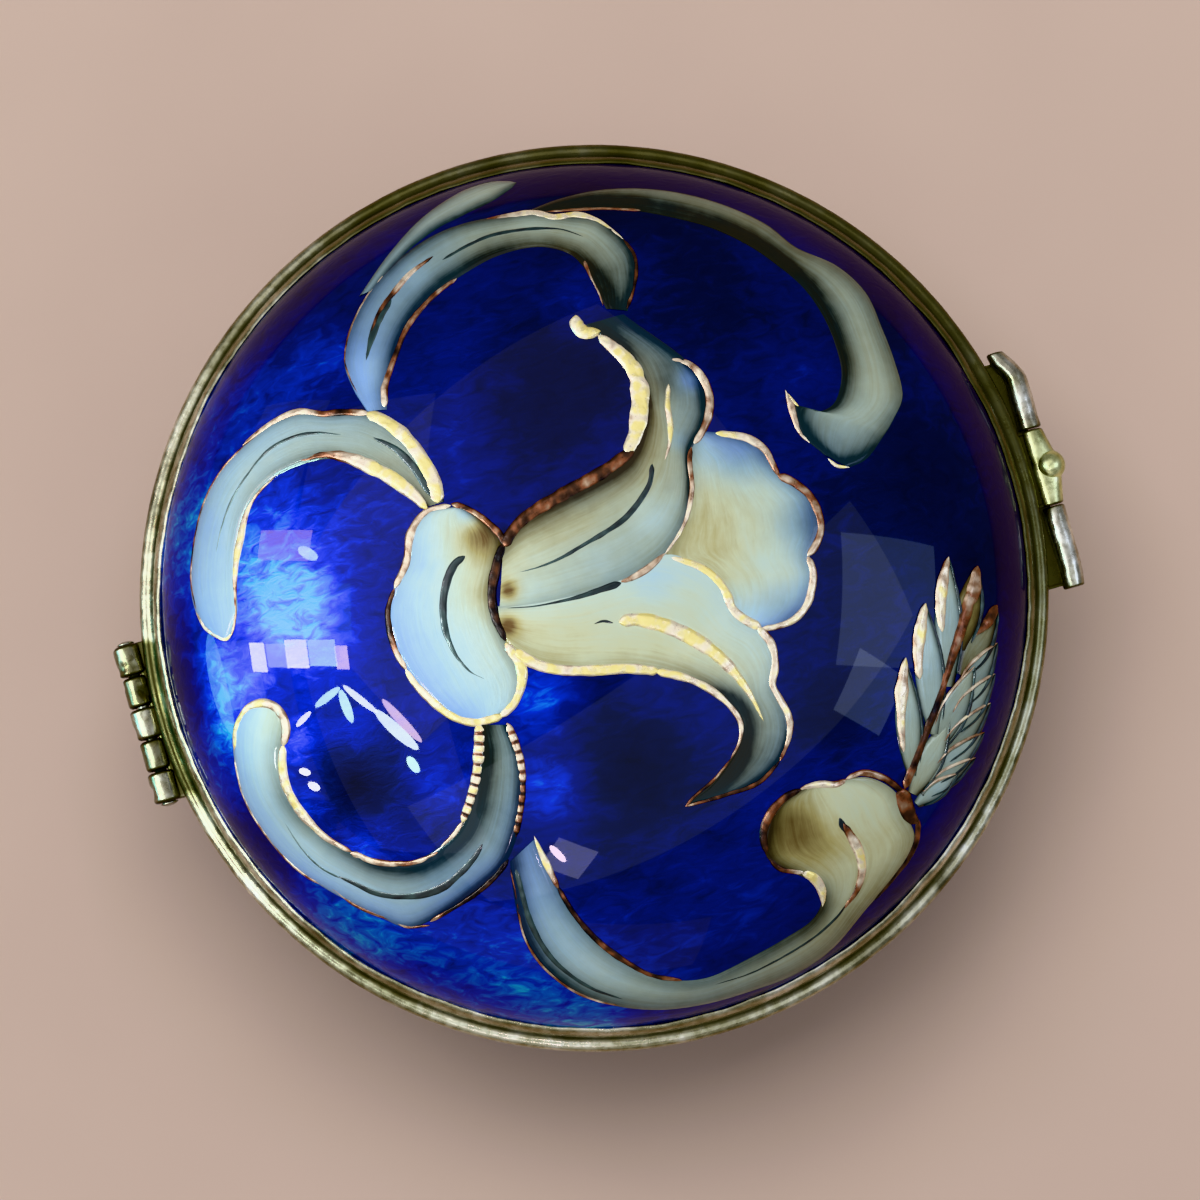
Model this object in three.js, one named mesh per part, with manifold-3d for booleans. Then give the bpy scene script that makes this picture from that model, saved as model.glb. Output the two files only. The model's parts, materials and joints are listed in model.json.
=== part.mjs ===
// A round porcelain pill box, closed, in millimetres with +Z up.
// The origin is the centre of the flat underside. The catch is at the front, -Y, and the hinge at the back, +Y.
// A domed lid and a bowl are each cemented into a gilt metal mount. The mounts meet at the seam.
// Five short tubes on one pin make the hinge. A thumbpiece with a round knob on the lid's mount sits
// between two bars on the bowl's mount.
import * as THREE from "three";
import { mergeVertices } from "three/addons/utils/BufferGeometryUtils.js";
import Module from "manifold-3d";

const wasm = await Module();
wasm.setup();

// Porcelain
const WALL = 1.5; // wall of the lid and of the bowl
const DOME_RISE = 10; // from the lid's lower edge to its top
const BOWL_DEPTH = 14.1; // from the bowl's upper edge to the underside
const FLOOR_THICKNESS = 2; // bottom of the bowl
const FOOT_RADIUS = 13; // flat underside
const FOOT_ROUNDING = 0.5; // round edge of the underside
const BOWL_FULLNESS = 2.6; // exponent of the bowl's curve: 2 is an ellipse, more is squarer

// Gilt mounts
const MOUNT_RADIUS = 25; // outermost edge of both mounts
const MOUNT_WIDTH = 1.15; // from that edge in to the porcelain
const BEAD_RADIUS = 0.42; // round bead beside the seam
const BEZEL_HEIGHT = 2.15; // from the seam to the edge that is rubbed over the porcelain
const BEZEL_WALL = 0.32; // thickness of that edge
const COVE_DEPTH = 0.12; // how far the groove between bead and bezel is sunk
const SHELF_HEIGHT = 0.85; // ledge under the porcelain's edge
const SEAM_GAP = 0.12; // between the closed mounts
const CEMENT_GAP = 0.06; // between porcelain and metal
const LIP_HEIGHT = 1.2; // upstanding lip of the bowl's mount, above the seam
const LIP_WALL = 0.35;
const LIP_GAP = 0.25; // between the lip and the lid

// Hinge
const KNUCKLE_COUNT = 5;
const KNUCKLE_RADIUS = 0.8;
const KNUCKLE_LENGTH = 1.7;
const KNUCKLE_GAP = 0.1; // between neighbouring knuckles
const KNUCKLE_BEVEL = 0.14;
const BORE_RADIUS = 0.42;
const PIN_RADIUS = 0.34;
const PIN_HEAD_RADIUS = 0.52;
const PIN_HEAD_HEIGHT = 0.16;
const HINGE_OFFSET = 0.55; // from the mounts' outermost edge out to the hinge's axis
const PAD_HEIGHT = 0.8; // straight pads behind the hinge and the catch, from the seam

// Catch
const BAR_RADIUS = 0.65;
const BAR_LENGTH = 4.4; // each of the two bars
const THUMB_LENGTH = 4.3;
const BAR_BEVEL = 0.2;
const CATCH_GAP = 0.18; // between the thumbpiece and each bar
const CATCH_OFFSET = 0.68; // from the mounts' outermost edge out to the bars' axis
const KNOB_RADIUS = 0.85;
const KNOB_REACH = 2; // from the mounts' outermost edge out to the knob's far side
const KNOB_RISE = 0.12; // knob's centre above the bars' axis

const SOLDER_GAP = 0.04; // between a tube and the pad that it is soldered to
const RUNNING_GAP = 0.12; // between a tube and the other mount

// Fineness of the round shapes
const ROUND_SIDES = 54; // lid, bowl and mounts
const TUBE_SIDES = 20;
const DOME_STEPS = 10;
const BOWL_STEPS = 9;
const BEAD_STEPS = 5;

// Worked out from the sizes above
const SEAM_Z = BOWL_DEPTH + SHELF_HEIGHT;
const SEAT_RADIUS = MOUNT_RADIUS - MOUNT_WIDTH;
const EDGE_INNER = SEAT_RADIUS - WALL;
const LIP_OUTER = EDGE_INNER - LIP_GAP;
const PAD_INNER = SEAT_RADIUS + 2 * CEMENT_GAP;
const HINGE_Y = MOUNT_RADIUS + HINGE_OFFSET;
const HINGE_PITCH = KNUCKLE_LENGTH + KNUCKLE_GAP;
const HINGE_LENGTH = KNUCKLE_COUNT * HINGE_PITCH - KNUCKLE_GAP;
const CATCH_Y = -(MOUNT_RADIUS + CATCH_OFFSET);
const BAR_X = THUMB_LENGTH / 2 + CATCH_GAP + BAR_LENGTH / 2;
const CATCH_LENGTH = THUMB_LENGTH + 2 * (CATCH_GAP + BAR_LENGTH);
const PAD_END = 0.15; // how far a pad runs past the tubes at each end

const v2 = (r, z) => new THREE.Vector2(r, z);

// A closed geometry as a solid that can be joined and cut.
function solidOf(geometry) {
  const bare = geometry.clone();
  bare.deleteAttribute("normal");
  bare.deleteAttribute("uv");
  const merged = mergeVertices(bare, 1e-5);
  return new wasm.Manifold(
    new wasm.Mesh({
      numProp: 3,
      vertProperties: new Float32Array(merged.attributes.position.array),
      triVerts: new Uint32Array(merged.index.array),
    }),
  );
}

// A solid as a geometry with flat faces.
function geometryOf(solid) {
  const mesh = solid.getMesh();
  const geometry = new THREE.BufferGeometry();
  const points = new THREE.BufferAttribute(new Float32Array(mesh.vertProperties), 3);
  geometry.setAttribute("position", points);
  geometry.setIndex(new THREE.BufferAttribute(new Uint32Array(mesh.triVerts), 1));
  geometry.computeVertexNormals();
  return geometry;
}

// A profile of [radius, height] points turned about the Z axis.
function turned(profile, sides = ROUND_SIDES) {
  return new THREE.LatheGeometry(profile, sides).rotateX(Math.PI / 2);
}

// The same profile turned about an axis along X.
function turnedAlongX(profile) {
  return new THREE.LatheGeometry(profile, TUBE_SIDES).rotateZ(-Math.PI / 2);
}

function rod(radius, length, y, x = 0) {
  const half = length / 2;
  const profile = [v2(0, -half), v2(radius, -half), v2(radius, half), v2(0, half)];
  return turnedAlongX(profile).translate(x, y, SEAM_Z);
}

function block(xSize, yLow, yHigh, zLow, zHigh) {
  const box = new THREE.BoxGeometry(xSize, yHigh - yLow, zHigh - zLow);
  return box.translate(0, (yLow + yHigh) / 2, (zLow + zHigh) / 2);
}

// Radius of the lid's outside at a height above its lower edge.
function domeRadius(height) {
  return SEAT_RADIUS * Math.sqrt(1 - (height / DOME_RISE) ** 2);
}

// A quarter ellipse from the rim, at height 0, up to the top.
function domeCurve(radius, rise) {
  const points = [];
  for (let i = 0; i <= DOME_STEPS; i += 1) {
    const turn = (Math.PI / 2) * (i / DOME_STEPS);
    points.push(v2(radius * Math.cos(turn), rise * Math.sin(turn)));
  }
  points[DOME_STEPS].x = 0;
  return points;
}

function lidDome() {
  const outside = domeCurve(SEAT_RADIUS, DOME_RISE);
  const inside = domeCurve(EDGE_INNER, DOME_RISE - WALL).reverse();
  const lowerEdge = SEAM_Z + SHELF_HEIGHT;
  return turned([...inside, ...outside]).translate(0, 0, lowerEdge);
}

// Radius of the bowl's curve at a depth below its upper edge. It meets the foot at the full depth.
function bowlRadius(depth, rimRadius, footRadius, fullDepth) {
  const footShare = (footRadius / rimRadius) ** BOWL_FULLNESS;
  const share = (depth / fullDepth) ** BOWL_FULLNESS * (1 - footShare);
  return rimRadius * (1 - share) ** (1 / BOWL_FULLNESS);
}

// Depths are closer together near the foot, where the curve is tightest.
function bowlCurve(rimRadius, footRadius, fullDepth) {
  const points = [];
  for (let i = 0; i <= BOWL_STEPS; i += 1) {
    const depth = fullDepth * Math.sin((Math.PI / 2) * (i / BOWL_STEPS));
    points.push(v2(bowlRadius(depth, rimRadius, footRadius, fullDepth), -depth));
  }
  return points;
}

function baseBowl() {
  const outerDepth = BOWL_DEPTH - FOOT_ROUNDING;
  const innerDepth = BOWL_DEPTH - FLOOR_THICKNESS;
  const outside = bowlCurve(SEAT_RADIUS, FOOT_RADIUS + FOOT_ROUNDING, outerDepth).reverse();
  const inside = bowlCurve(EDGE_INNER, FOOT_RADIUS - WALL / 2, innerDepth);
  const foot = [v2(0, -BOWL_DEPTH), v2(FOOT_RADIUS, -BOWL_DEPTH)];
  const profile = [...foot, ...outside, ...inside, v2(0, -innerDepth)];
  return turned(profile).translate(0, 0, BOWL_DEPTH);
}

// Section of a mount above the seam: shelf, bead, cove and the bezel that is rubbed over the porcelain.
// radiusAt gives the porcelain's outside at a height above its edge.
function mountSection(radiusAt) {
  const face = SEAM_GAP / 2;
  const beadCentre = v2(MOUNT_RADIUS - BEAD_RADIUS, face + BEAD_RADIUS);
  const reach = BEZEL_HEIGHT - SHELF_HEIGHT;
  const section = [v2(EDGE_INNER, face)];
  for (let i = 0; i <= BEAD_STEPS; i += 1) {
    const turn = Math.PI * (i / BEAD_STEPS - 0.5) * 0.9;
    const out = BEAD_RADIUS * Math.cos(turn);
    section.push(v2(beadCentre.x + out, beadCentre.y + BEAD_RADIUS * Math.sin(turn)));
  }
  const bezelFoot = SEAT_RADIUS + CEMENT_GAP + BEZEL_WALL;
  const coveHeight = face + 2 * BEAD_RADIUS;
  section.push(v2(bezelFoot - COVE_DEPTH, coveHeight));
  section.push(v2(bezelFoot, coveHeight + COVE_DEPTH));
  const nearTop = radiusAt(reach * 0.8) + CEMENT_GAP + BEZEL_WALL * 0.8;
  section.push(v2(nearTop, SHELF_HEIGHT + reach * 0.8));
  section.push(v2(radiusAt(reach) + CEMENT_GAP + BEZEL_WALL * 0.3, BEZEL_HEIGHT));
  section.push(v2(radiusAt(reach) + CEMENT_GAP, BEZEL_HEIGHT));
  section.push(v2(radiusAt(reach / 2) + CEMENT_GAP, SHELF_HEIGHT + reach / 2));
  const shelf = SHELF_HEIGHT - CEMENT_GAP;
  section.push(v2(SEAT_RADIUS + CEMENT_GAP, shelf));
  section.push(v2(EDGE_INNER, shelf));
  return section;
}

// A straight pad behind tubes that lie on the tangent, hollowed to the mount's curve.
function pad(length, yAxis, zLow, zHigh) {
  const far = Math.abs(yAxis);
  const near = far / 2;
  const [yLow, yHigh] = yAxis > 0 ? [near, far] : [-far, -near];
  const straight = solidOf(block(length + 2 * PAD_END, yLow, yHigh, zLow, zHigh));
  const height = 4 * PAD_HEIGHT;
  const core = [
    v2(0, SEAM_Z - height),
    v2(PAD_INNER, SEAM_Z - height),
    v2(PAD_INNER, SEAM_Z + height),
    v2(0, SEAM_Z + height),
  ];
  return straight.subtract(solidOf(turned(core)));
}

const knuckleX = (i) => (i - (KNUCKLE_COUNT - 1) / 2) * HINGE_PITCH;
const onBowl = (i) => i % 2 === 0;

// Cuts the seats of the hinge's tubes: snug for the mount's own, free for the other mount's.
function cutHingeSeats(mount, isBowl) {
  let cut = mount;
  for (let i = 0; i < KNUCKLE_COUNT; i += 1) {
    const gap = onBowl(i) === isBowl ? SOLDER_GAP : RUNNING_GAP;
    const end = i === 0 || i === KNUCKLE_COUNT - 1 ? 2 * PAD_END : 0;
    const x = knuckleX(i) + (Math.sign(knuckleX(i)) * end) / 2;
    const length = HINGE_PITCH + end;
    cut = cut.subtract(solidOf(rod(KNUCKLE_RADIUS + gap, length, HINGE_Y, x)));
  }
  return cut;
}

function lidMount() {
  const section = mountSection(domeRadius);
  const ring = turned([...section, section[0]].map((p) => v2(p.x, p.y + SEAM_Z)));
  const low = SEAM_Z + SEAM_GAP / 2;
  const high = SEAM_Z + PAD_HEIGHT;
  let mount = solidOf(ring).add(pad(HINGE_LENGTH, HINGE_Y, low, high));
  mount = mount.add(pad(THUMB_LENGTH - 2 * PAD_END, CATCH_Y, low, high));
  mount = cutHingeSeats(mount, false);
  mount = mount.subtract(solidOf(rod(BAR_RADIUS + SOLDER_GAP, THUMB_LENGTH, CATCH_Y)));
  // The bars stand still while the lid lifts, so nothing of the lid may lie over them.
  const barSide = CATCH_Y + BAR_RADIUS + RUNNING_GAP;
  for (const side of [-1, 1]) {
    const over = block(BAR_LENGTH + CATCH_GAP, barSide - MOUNT_RADIUS, barSide, low - 1, high + MOUNT_RADIUS);
    mount = mount.subtract(solidOf(over.translate(side * (BAR_X + CATCH_GAP / 2), 0, 0)));
  }
  return geometryOf(mount);
}

function baseMount() {
  const radiusAt = (depth) =>
    bowlRadius(depth, SEAT_RADIUS, FOOT_RADIUS + FOOT_ROUNDING, BOWL_DEPTH - FOOT_ROUNDING);
  const section = mountSection(radiusAt).map((p) => v2(p.x, SEAM_Z - p.y));
  const lip = [
    v2(LIP_OUTER - LIP_WALL, section.at(-1).y),
    v2(LIP_OUTER - LIP_WALL, SEAM_Z + LIP_HEIGHT),
    v2(LIP_OUTER, SEAM_Z + LIP_HEIGHT),
    v2(LIP_OUTER, section[0].y),
  ];
  const profile = [...section, ...lip, section[0]].reverse();
  const ring = turned(profile);
  const low = SEAM_Z - PAD_HEIGHT;
  const high = SEAM_Z - SEAM_GAP / 2;
  let mount = solidOf(ring).add(pad(HINGE_LENGTH, HINGE_Y, low, high));
  mount = mount.add(pad(CATCH_LENGTH, CATCH_Y, low, high));
  mount = cutHingeSeats(mount, true);
  for (const side of [-1, 1]) {
    const length = BAR_LENGTH + 2 * PAD_END;
    const seat = rod(BAR_RADIUS + SOLDER_GAP, length, CATCH_Y, side * (BAR_X + PAD_END));
    mount = mount.subtract(solidOf(seat));
  }
  const thumbSpan = THUMB_LENGTH + CATCH_GAP;
  mount = mount.subtract(solidOf(rod(BAR_RADIUS + RUNNING_GAP, thumbSpan, CATCH_Y)));
  return geometryOf(mount.subtract(solidOf(knobBall(RUNNING_GAP))));
}

// A tube or a solid bar with bevelled ends, along X and centred.
function bar(radius, length, bevel, bore = 0) {
  const half = length / 2;
  const outside = [
    v2(bore, -half),
    v2(radius - bevel, -half),
    v2(radius, -half + bevel),
    v2(radius, half - bevel),
    v2(radius - bevel, half),
    v2(bore, half),
  ];
  return turnedAlongX(bore > 0 ? [...outside, outside[0]] : outside);
}

function knuckle(i) {
  const tube = bar(KNUCKLE_RADIUS, KNUCKLE_LENGTH, KNUCKLE_BEVEL, BORE_RADIUS);
  return tube.translate(knuckleX(i), HINGE_Y, SEAM_Z);
}

function hingePin() {
  const half = HINGE_LENGTH / 2 + CEMENT_GAP;
  const profile = [
    v2(0, -half - PIN_HEAD_HEIGHT),
    v2(PIN_HEAD_RADIUS * 0.6, -half - PIN_HEAD_HEIGHT),
    v2(PIN_HEAD_RADIUS, -half),
    v2(PIN_RADIUS, -half),
    v2(PIN_RADIUS, half),
    v2(PIN_HEAD_RADIUS, half),
    v2(PIN_HEAD_RADIUS * 0.6, half + PIN_HEAD_HEIGHT),
    v2(0, half + PIN_HEAD_HEIGHT),
  ];
  return turnedAlongX(profile).translate(0, HINGE_Y, SEAM_Z);
}

function knobBall(extra = 0) {
  const ball = new THREE.SphereGeometry(KNOB_RADIUS + extra, TUBE_SIDES, TUBE_SIDES / 2);
  const y = -(MOUNT_RADIUS + KNOB_REACH - KNOB_RADIUS);
  return ball.translate(0, y, SEAM_Z + KNOB_RISE);
}

function thumbpiece() {
  const stem = bar(BAR_RADIUS, THUMB_LENGTH, BAR_BEVEL).translate(0, CATCH_Y, SEAM_Z);
  return geometryOf(solidOf(stem).add(solidOf(knobBall())));
}

function catchBar(side) {
  return bar(BAR_RADIUS, BAR_LENGTH, BAR_BEVEL).translate(side * BAR_X, CATCH_Y, SEAM_Z);
}

const glaze = new THREE.MeshStandardMaterial({ color: 0x101a78, roughness: 0.12, metalness: 0.1 });
const gilt = new THREE.MeshStandardMaterial({ color: 0xb5a45c, roughness: 0.3, metalness: 1 });
const wornGilt = new THREE.MeshStandardMaterial({ color: 0xa9a692, roughness: 0.35, metalness: 1 });

const lid = new THREE.Group();
const bowl = new THREE.Group();

function place(group, name, geometry, material) {
  const mesh = new THREE.Mesh(geometry, material);
  mesh.name = name;
  group.add(mesh);
}

place(lid, "lid_dome", lidDome(), glaze);
place(lid, "lid_mount", lidMount(), gilt);
place(lid, "thumbpiece", thumbpiece(), gilt);
place(bowl, "base_bowl", baseBowl(), glaze);
place(bowl, "base_mount", baseMount(), gilt);
place(bowl, "catch_bar_left", catchBar(-1), wornGilt);
place(bowl, "catch_bar_right", catchBar(1), wornGilt);
place(bowl, "hinge_pin", hingePin(), wornGilt);
for (let i = 0; i < KNUCKLE_COUNT; i += 1) {
  const owner = onBowl(i) ? bowl : lid;
  const name = `${onBowl(i) ? "base" : "lid"}_knuckle_${i + 1}`;
  place(owner, name, knuckle(i), wornGilt);
}

const pillBox = new THREE.Group();
pillBox.add(lid, bowl);

export default pillBox;
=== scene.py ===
"""A round porcelain pill box with a domed lid, dressed for its picture.

The lid shows a trumpet flower with scrolling leaves on shimmering cobalt. The flower and the leaves are
thin panes of opal enamel, laid on the dome and edged with raised gilding.
"""

import json
import math

import bmesh
import bpy
import numpy as np
from mathutils import Matrix, Vector, noise


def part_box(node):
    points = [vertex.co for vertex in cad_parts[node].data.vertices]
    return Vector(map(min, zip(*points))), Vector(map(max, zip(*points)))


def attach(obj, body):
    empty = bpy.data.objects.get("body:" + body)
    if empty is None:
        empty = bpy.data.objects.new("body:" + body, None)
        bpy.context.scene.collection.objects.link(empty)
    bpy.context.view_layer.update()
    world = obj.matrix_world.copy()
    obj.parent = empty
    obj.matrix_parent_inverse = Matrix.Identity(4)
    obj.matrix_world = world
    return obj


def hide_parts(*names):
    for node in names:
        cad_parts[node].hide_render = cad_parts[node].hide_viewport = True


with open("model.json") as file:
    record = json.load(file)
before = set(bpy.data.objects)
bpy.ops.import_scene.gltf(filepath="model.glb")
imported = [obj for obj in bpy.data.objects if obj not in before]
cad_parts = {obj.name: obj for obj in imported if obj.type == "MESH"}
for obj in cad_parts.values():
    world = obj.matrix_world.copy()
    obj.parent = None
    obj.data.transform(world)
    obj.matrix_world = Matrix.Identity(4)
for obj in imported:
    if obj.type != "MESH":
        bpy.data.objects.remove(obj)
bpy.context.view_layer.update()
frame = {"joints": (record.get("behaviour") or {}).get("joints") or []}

MM = 0.001
WELD = 1e-7

# Places taken from the solids
SEAM = frame["joints"][0]["pos_m"][2]
HINGE_Y = frame["joints"][0]["pos_m"][1]
LID_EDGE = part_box("lid_dome")[0].z
LID_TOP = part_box("lid_dome")[1].z
BOWL_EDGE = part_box("base_bowl")[1].z
THUMB_LOW, THUMB_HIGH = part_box("thumbpiece")
BAR_LOW, BAR_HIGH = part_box("catch_bar_right")

# Porcelain
SEAT_RADIUS = 23.85 * MM
WALL = 1.5 * MM
DOME_RISE = LID_TOP - LID_EDGE
FLOOR_THICKNESS = 2.0 * MM
FOOT_RADIUS = 13.0 * MM
FOOT_ROUNDING = 0.5 * MM
BOWL_FULLNESS = 2.6
BOWL_FOOT = FOOT_RADIUS + FOOT_ROUNDING
BOWL_DEPTH = BOWL_EDGE - FOOT_ROUNDING

# Gilt mounts
MOUNT_RADIUS = 25.0 * MM
BEAD_RADIUS = 0.42 * MM
BEZEL_HEIGHT = 2.15 * MM
BEZEL_WALL = 0.32 * MM
COVE_DEPTH = 0.12 * MM
SHELF_HEIGHT = LID_EDGE - SEAM
SEAM_GAP = 0.12 * MM
CEMENT_GAP = 0.06 * MM
LIP_HEIGHT = 1.2 * MM
LIP_WALL = 0.35 * MM
LIP_GAP = 0.25 * MM
LIP_CORNER = 0.08 * MM
RING_STEPS = 300

# Straight pads behind the hinge and the catch: where they start, their ends, and how far from the seam
PAD_INNER = 23.2 * MM
PAD_ROUNDING = 0.16 * MM
HINGE_PAD_HALF = 4.45 * MM
THUMB_PAD_HALF = 1.95 * MM
BARS_PAD = (-6.4 * MM, 6.15 * MM)
LID_PAD_RISE = 0.34 * MM
HINGE_PAD_DROP = 0.72 * MM
BARS_PAD_DROP = (0.66 * MM, 0.25 * MM)

# Hinge and catch
KNUCKLE_RADIUS = 0.8 * MM
KNUCKLE_ROUNDING = 0.2 * MM
KNUCKLE_BORE = 0.4 * MM
PIN_RADIUS = 0.34 * MM
PIN_HEAD_RADIUS = 0.52 * MM
BAR_RADIUS = 0.65 * MM
BAR_ROUNDING = 0.12 * MM
KNOB_RADIUS = 0.85 * MM
CATCH_Y = (BAR_LOW.y + BAR_HIGH.y) / 2

# Painted shade on the rings, strongest to one side of the picture and below, and painted shadow behind hinge
# and catch
SIDE_SHADE = 0.72
SIDE_SHADE_TOWARD = (0.5, 0.87)
SHADE_BELOW = 0.32
HINGE_DARK_HALF = 4.9 * MM
CATCH_DARK_HALF = 7.6 * MM
DARK_FADE = 0.8 * MM
BEAD_DENTS_FROM = 24.2 * MM

# How the lid is turned in the picture, and where the eye is
ART_TURN = math.radians(106)
FRAME_WIDTH = 66.1 * MM
EYE_DISTANCE = 260 * MM
EYE_LEAN = math.radians(4)
EYE_AIM = (0.32, -0.23)
SENSOR_WIDTH = 36.0

# Enamel and gilding, in millimetres
PANE_RELIEF = 0.07
LINE_RELIEF = 0.15
SUNK = 0.03
TUCK = 0.12
RIM_LINE = 0.16
LINE_WIDENING = 1.12

# The bowl: brightness of its ground, then its plain leaves and gilt bands, in millimetres from its rim
BOWL_GLOW = 0.55
BOWL_LEAVES = 12
BOWL_LEAF_Y = -5.6
BOWL_BANDS = (2.4, 8.8)
BAND_HALF = 0.16
BAND_RISE = 0.09

# Base brightness of the lid's cobalt; where the dark violet painted shade along its rim starts, its width,
# and how it grows to the upper right; and soft spots of painted sheen, reflection and shade on it: place,
# radius and how much brighter
GROUND_GLOW = 0.42
EDGE_FROM = 22.0
EDGE_WIDTH = 1.6
EDGE_SLOPE = 62
GROUND_PAINTED_LIGHT = [
    (-17.0, -0.6, 3.0, 0.34),
    (-16.2, -1.2, 2.2, 0.3),
    (-12.5, 4.0, 4.5, 0.18),
    (-17.5, 4.5, 2.5, 0.1),
    (-13.2, -10.6, 2.5, -0.46),
    (-16.2, -8.0, 1.4, 0.25),
    (-13.0, -7.9, 1.2, 0.12),
    (-15.6, -11.3, 1.5, 0.3),
    (-12.8, -13.2, 1.5, 0.3),
    (-8.6, -10.6, 2.2, 0.22),
    (-8.5, -20.5, 4.5, 0.2),
    (-14.0, -18.2, 4.5, 0.32),
    (-5.0, -20.5, 3.5, 0.2),
    (0.0, -23.5, 5.0, 0.4),
    (-20.3, -5.6, 1.1, 0.36),
    (-20.9, -3.6, 1.1, 0.36),
    (-19.9, -7.6, 1.1, 0.3),
    (-18.9, -4.6, 1.2, 0.25),
    (-20.6, -9.5, 3.5, 0.3),
    (-21.8, 3.0, 4.5, 0.46),
    (-20.0, 10.5, 3.8, 0.3),
    (-2.8, -5.6, 1.8, 0.42),
    (-2.2, -10.5, 2.2, 0.32),
    (2.8, -5.4, 1.6, 0.12),
    (2.8, -9.2, 3.4, -0.22),
    (1.0, -14.0, 3.0, -0.06),
    (-8.3, 12.0, 2.6, 0.1),
    (-7.2, 8.0, 2.5, 0.08),
    (-14.5, 13.2, 1.6, 0.3),
    (-16.5, 11.8, 1.6, 0.2),
    (-3.0, 11.0, 4.5, -0.24),
    (-1.0, 16.5, 1.6, 0.15),
    (1.5, 18.0, 2.0, 0.15),
    (7.0, 17.0, 4.5, -0.08),
    (12.0, 12.5, 1.6, 0.16),
    (17.5, 7.5, 3.5, -0.18),
    (15.5, 0.0, 4.5, -0.1),
    (13.0, -6.5, 2.6, -0.22),
    (22.0, 2.0, 3.0, -0.12),
    (8.0, -17.5, 3.0, 0.08),
    (16.0, 16.0, 3.0, -0.15),
    (0.0, 23.5, 5.0, -0.25),
]

# The stage, in metres
LIGHT_DISTANCE = 0.6
FLOOR_HALF = 1.5
ROOM_COLOUR = (0.90, 0.92, 1.0, 1)
ROOM_STRENGTH = 0.42


def picture_to_box(x, y, height=0.0):
    """A point of the picture, in millimetres from the lid's centre, as a point of the box at a height."""
    across = x * math.cos(ART_TURN) + y * math.sin(ART_TURN)
    along = -x * math.sin(ART_TURN) + y * math.cos(ART_TURN)
    return Vector((across * MM, along * MM, height))


PICTURE_UP = picture_to_box(0, 1).normalized()
AIM = picture_to_box(*EYE_AIM, SEAM)
EYE = AIM + EYE_DISTANCE * (Vector((0, 0, math.cos(EYE_LEAN))) - PICTURE_UP * math.sin(EYE_LEAN))


def on_dome(x, y, lift=0.0):
    """Where the line of sight through a point of the picture meets the lid, lifted off it by millimetres."""
    sight = picture_to_box(x, y, SEAM) - EYE
    start = EYE - Vector((0, 0, LID_EDGE))
    squash = Vector((1 / SEAT_RADIUS, 1 / SEAT_RADIUS, 1 / DOME_RISE))
    s = Vector((sight.x * squash.x, sight.y * squash.y, sight.z * squash.z))
    e = Vector((start.x * squash.x, start.y * squash.y, start.z * squash.z))
    a, b, c = s.dot(s), 2 * s.dot(e), e.dot(e) - 1
    t = (-b - math.sqrt(max(b * b - 4 * a * c, 0.0))) / (2 * a)
    hit = start + sight * t
    normal = Vector((hit.x * squash.x**2, hit.y * squash.y**2, hit.z * squash.z**2)).normalized()
    return hit + Vector((0, 0, LID_EDGE)) + normal * lift * MM


def on_bowl(x, y, lift=0.0):
    """A point of the bowl's wall, lifted off it by millimetres. x runs round it, and y up from its rim."""
    angle = x * MM / SEAT_RADIUS
    step = 0.1 * MM
    radius, lower = (bowl_radius(-y * MM + s, SEAT_RADIUS, BOWL_FOOT, BOWL_DEPTH) for s in (0, step))
    normal = Vector((step, lower - radius)).normalized() * lift * MM
    radius += normal.x
    return Vector((radius * math.cos(angle), radius * math.sin(angle), BOWL_EDGE + y * MM + normal.y))


def seen_at(spot):
    """The point of the picture where a point of the box is seen."""
    sight = spot - EYE
    hit = EYE + sight * ((SEAM - EYE.z) / sight.z)
    along_x = Vector((math.cos(ART_TURN), -math.sin(ART_TURN), 0))
    along_y = Vector((math.sin(ART_TURN), math.cos(ART_TURN), 0))
    return hit.dot(along_x) / MM, hit.dot(along_y) / MM


# Curves and bands of the picture


def spline(points, count):
    """Points at equal steps of a smooth curve through given ones."""
    p = np.array(points, float)
    p = np.vstack([2 * p[0] - p[1], p, 2 * p[-1] - p[-2]])
    fine = []
    for i in range(1, len(p) - 2):
        t = np.linspace(0, 1, 24, endpoint=False)[:, None]
        a, b, c, d = p[i - 1], p[i], p[i + 1], p[i + 2]
        curve = 2 * b + (c - a) * t + (2 * a - 5 * b + 4 * c - d) * t**2 + (3 * b - a - 3 * c + d) * t**3
        fine.append(curve / 2)
    fine = np.vstack([*fine, p[-2][None]])
    return fine, np.linspace(0, len(fine) - 1, count)


def by_index(points, count):
    """The curve sampled evenly between its given points, so that two edges keep step."""
    fine, at = spline(points, count)
    grid = np.arange(len(fine))
    return np.stack([np.interp(at, grid, fine[:, k]) for k in (0, 1)], -1)


def by_length(points, count):
    """The curve sampled at equal distances."""
    fine, _ = spline(points, count)
    steps = np.r_[0, np.cumsum(np.linalg.norm(np.diff(fine, axis=0), axis=1))]
    at = np.linspace(0, steps[-1], count)
    return np.stack([np.interp(at, steps, fine[:, k]) for k in (0, 1)], -1), steps[-1]


def along(values, u):
    """A value that runs through the given ones from start to end."""
    return float(np.interp(u, np.linspace(0, 1, len(values)), values))


def held(x):
    return min(max(x, 0.0), 1.0)


def smooth(x):
    x = held(x)
    return x * x * (3 - 2 * x)


def soft_spot(x, y, spot_x, spot_y, radius):
    """How strongly a soft round spot shows at a point of the picture."""
    return math.exp(-((x - spot_x) ** 2 + (y - spot_y) ** 2) / radius**2)


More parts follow.
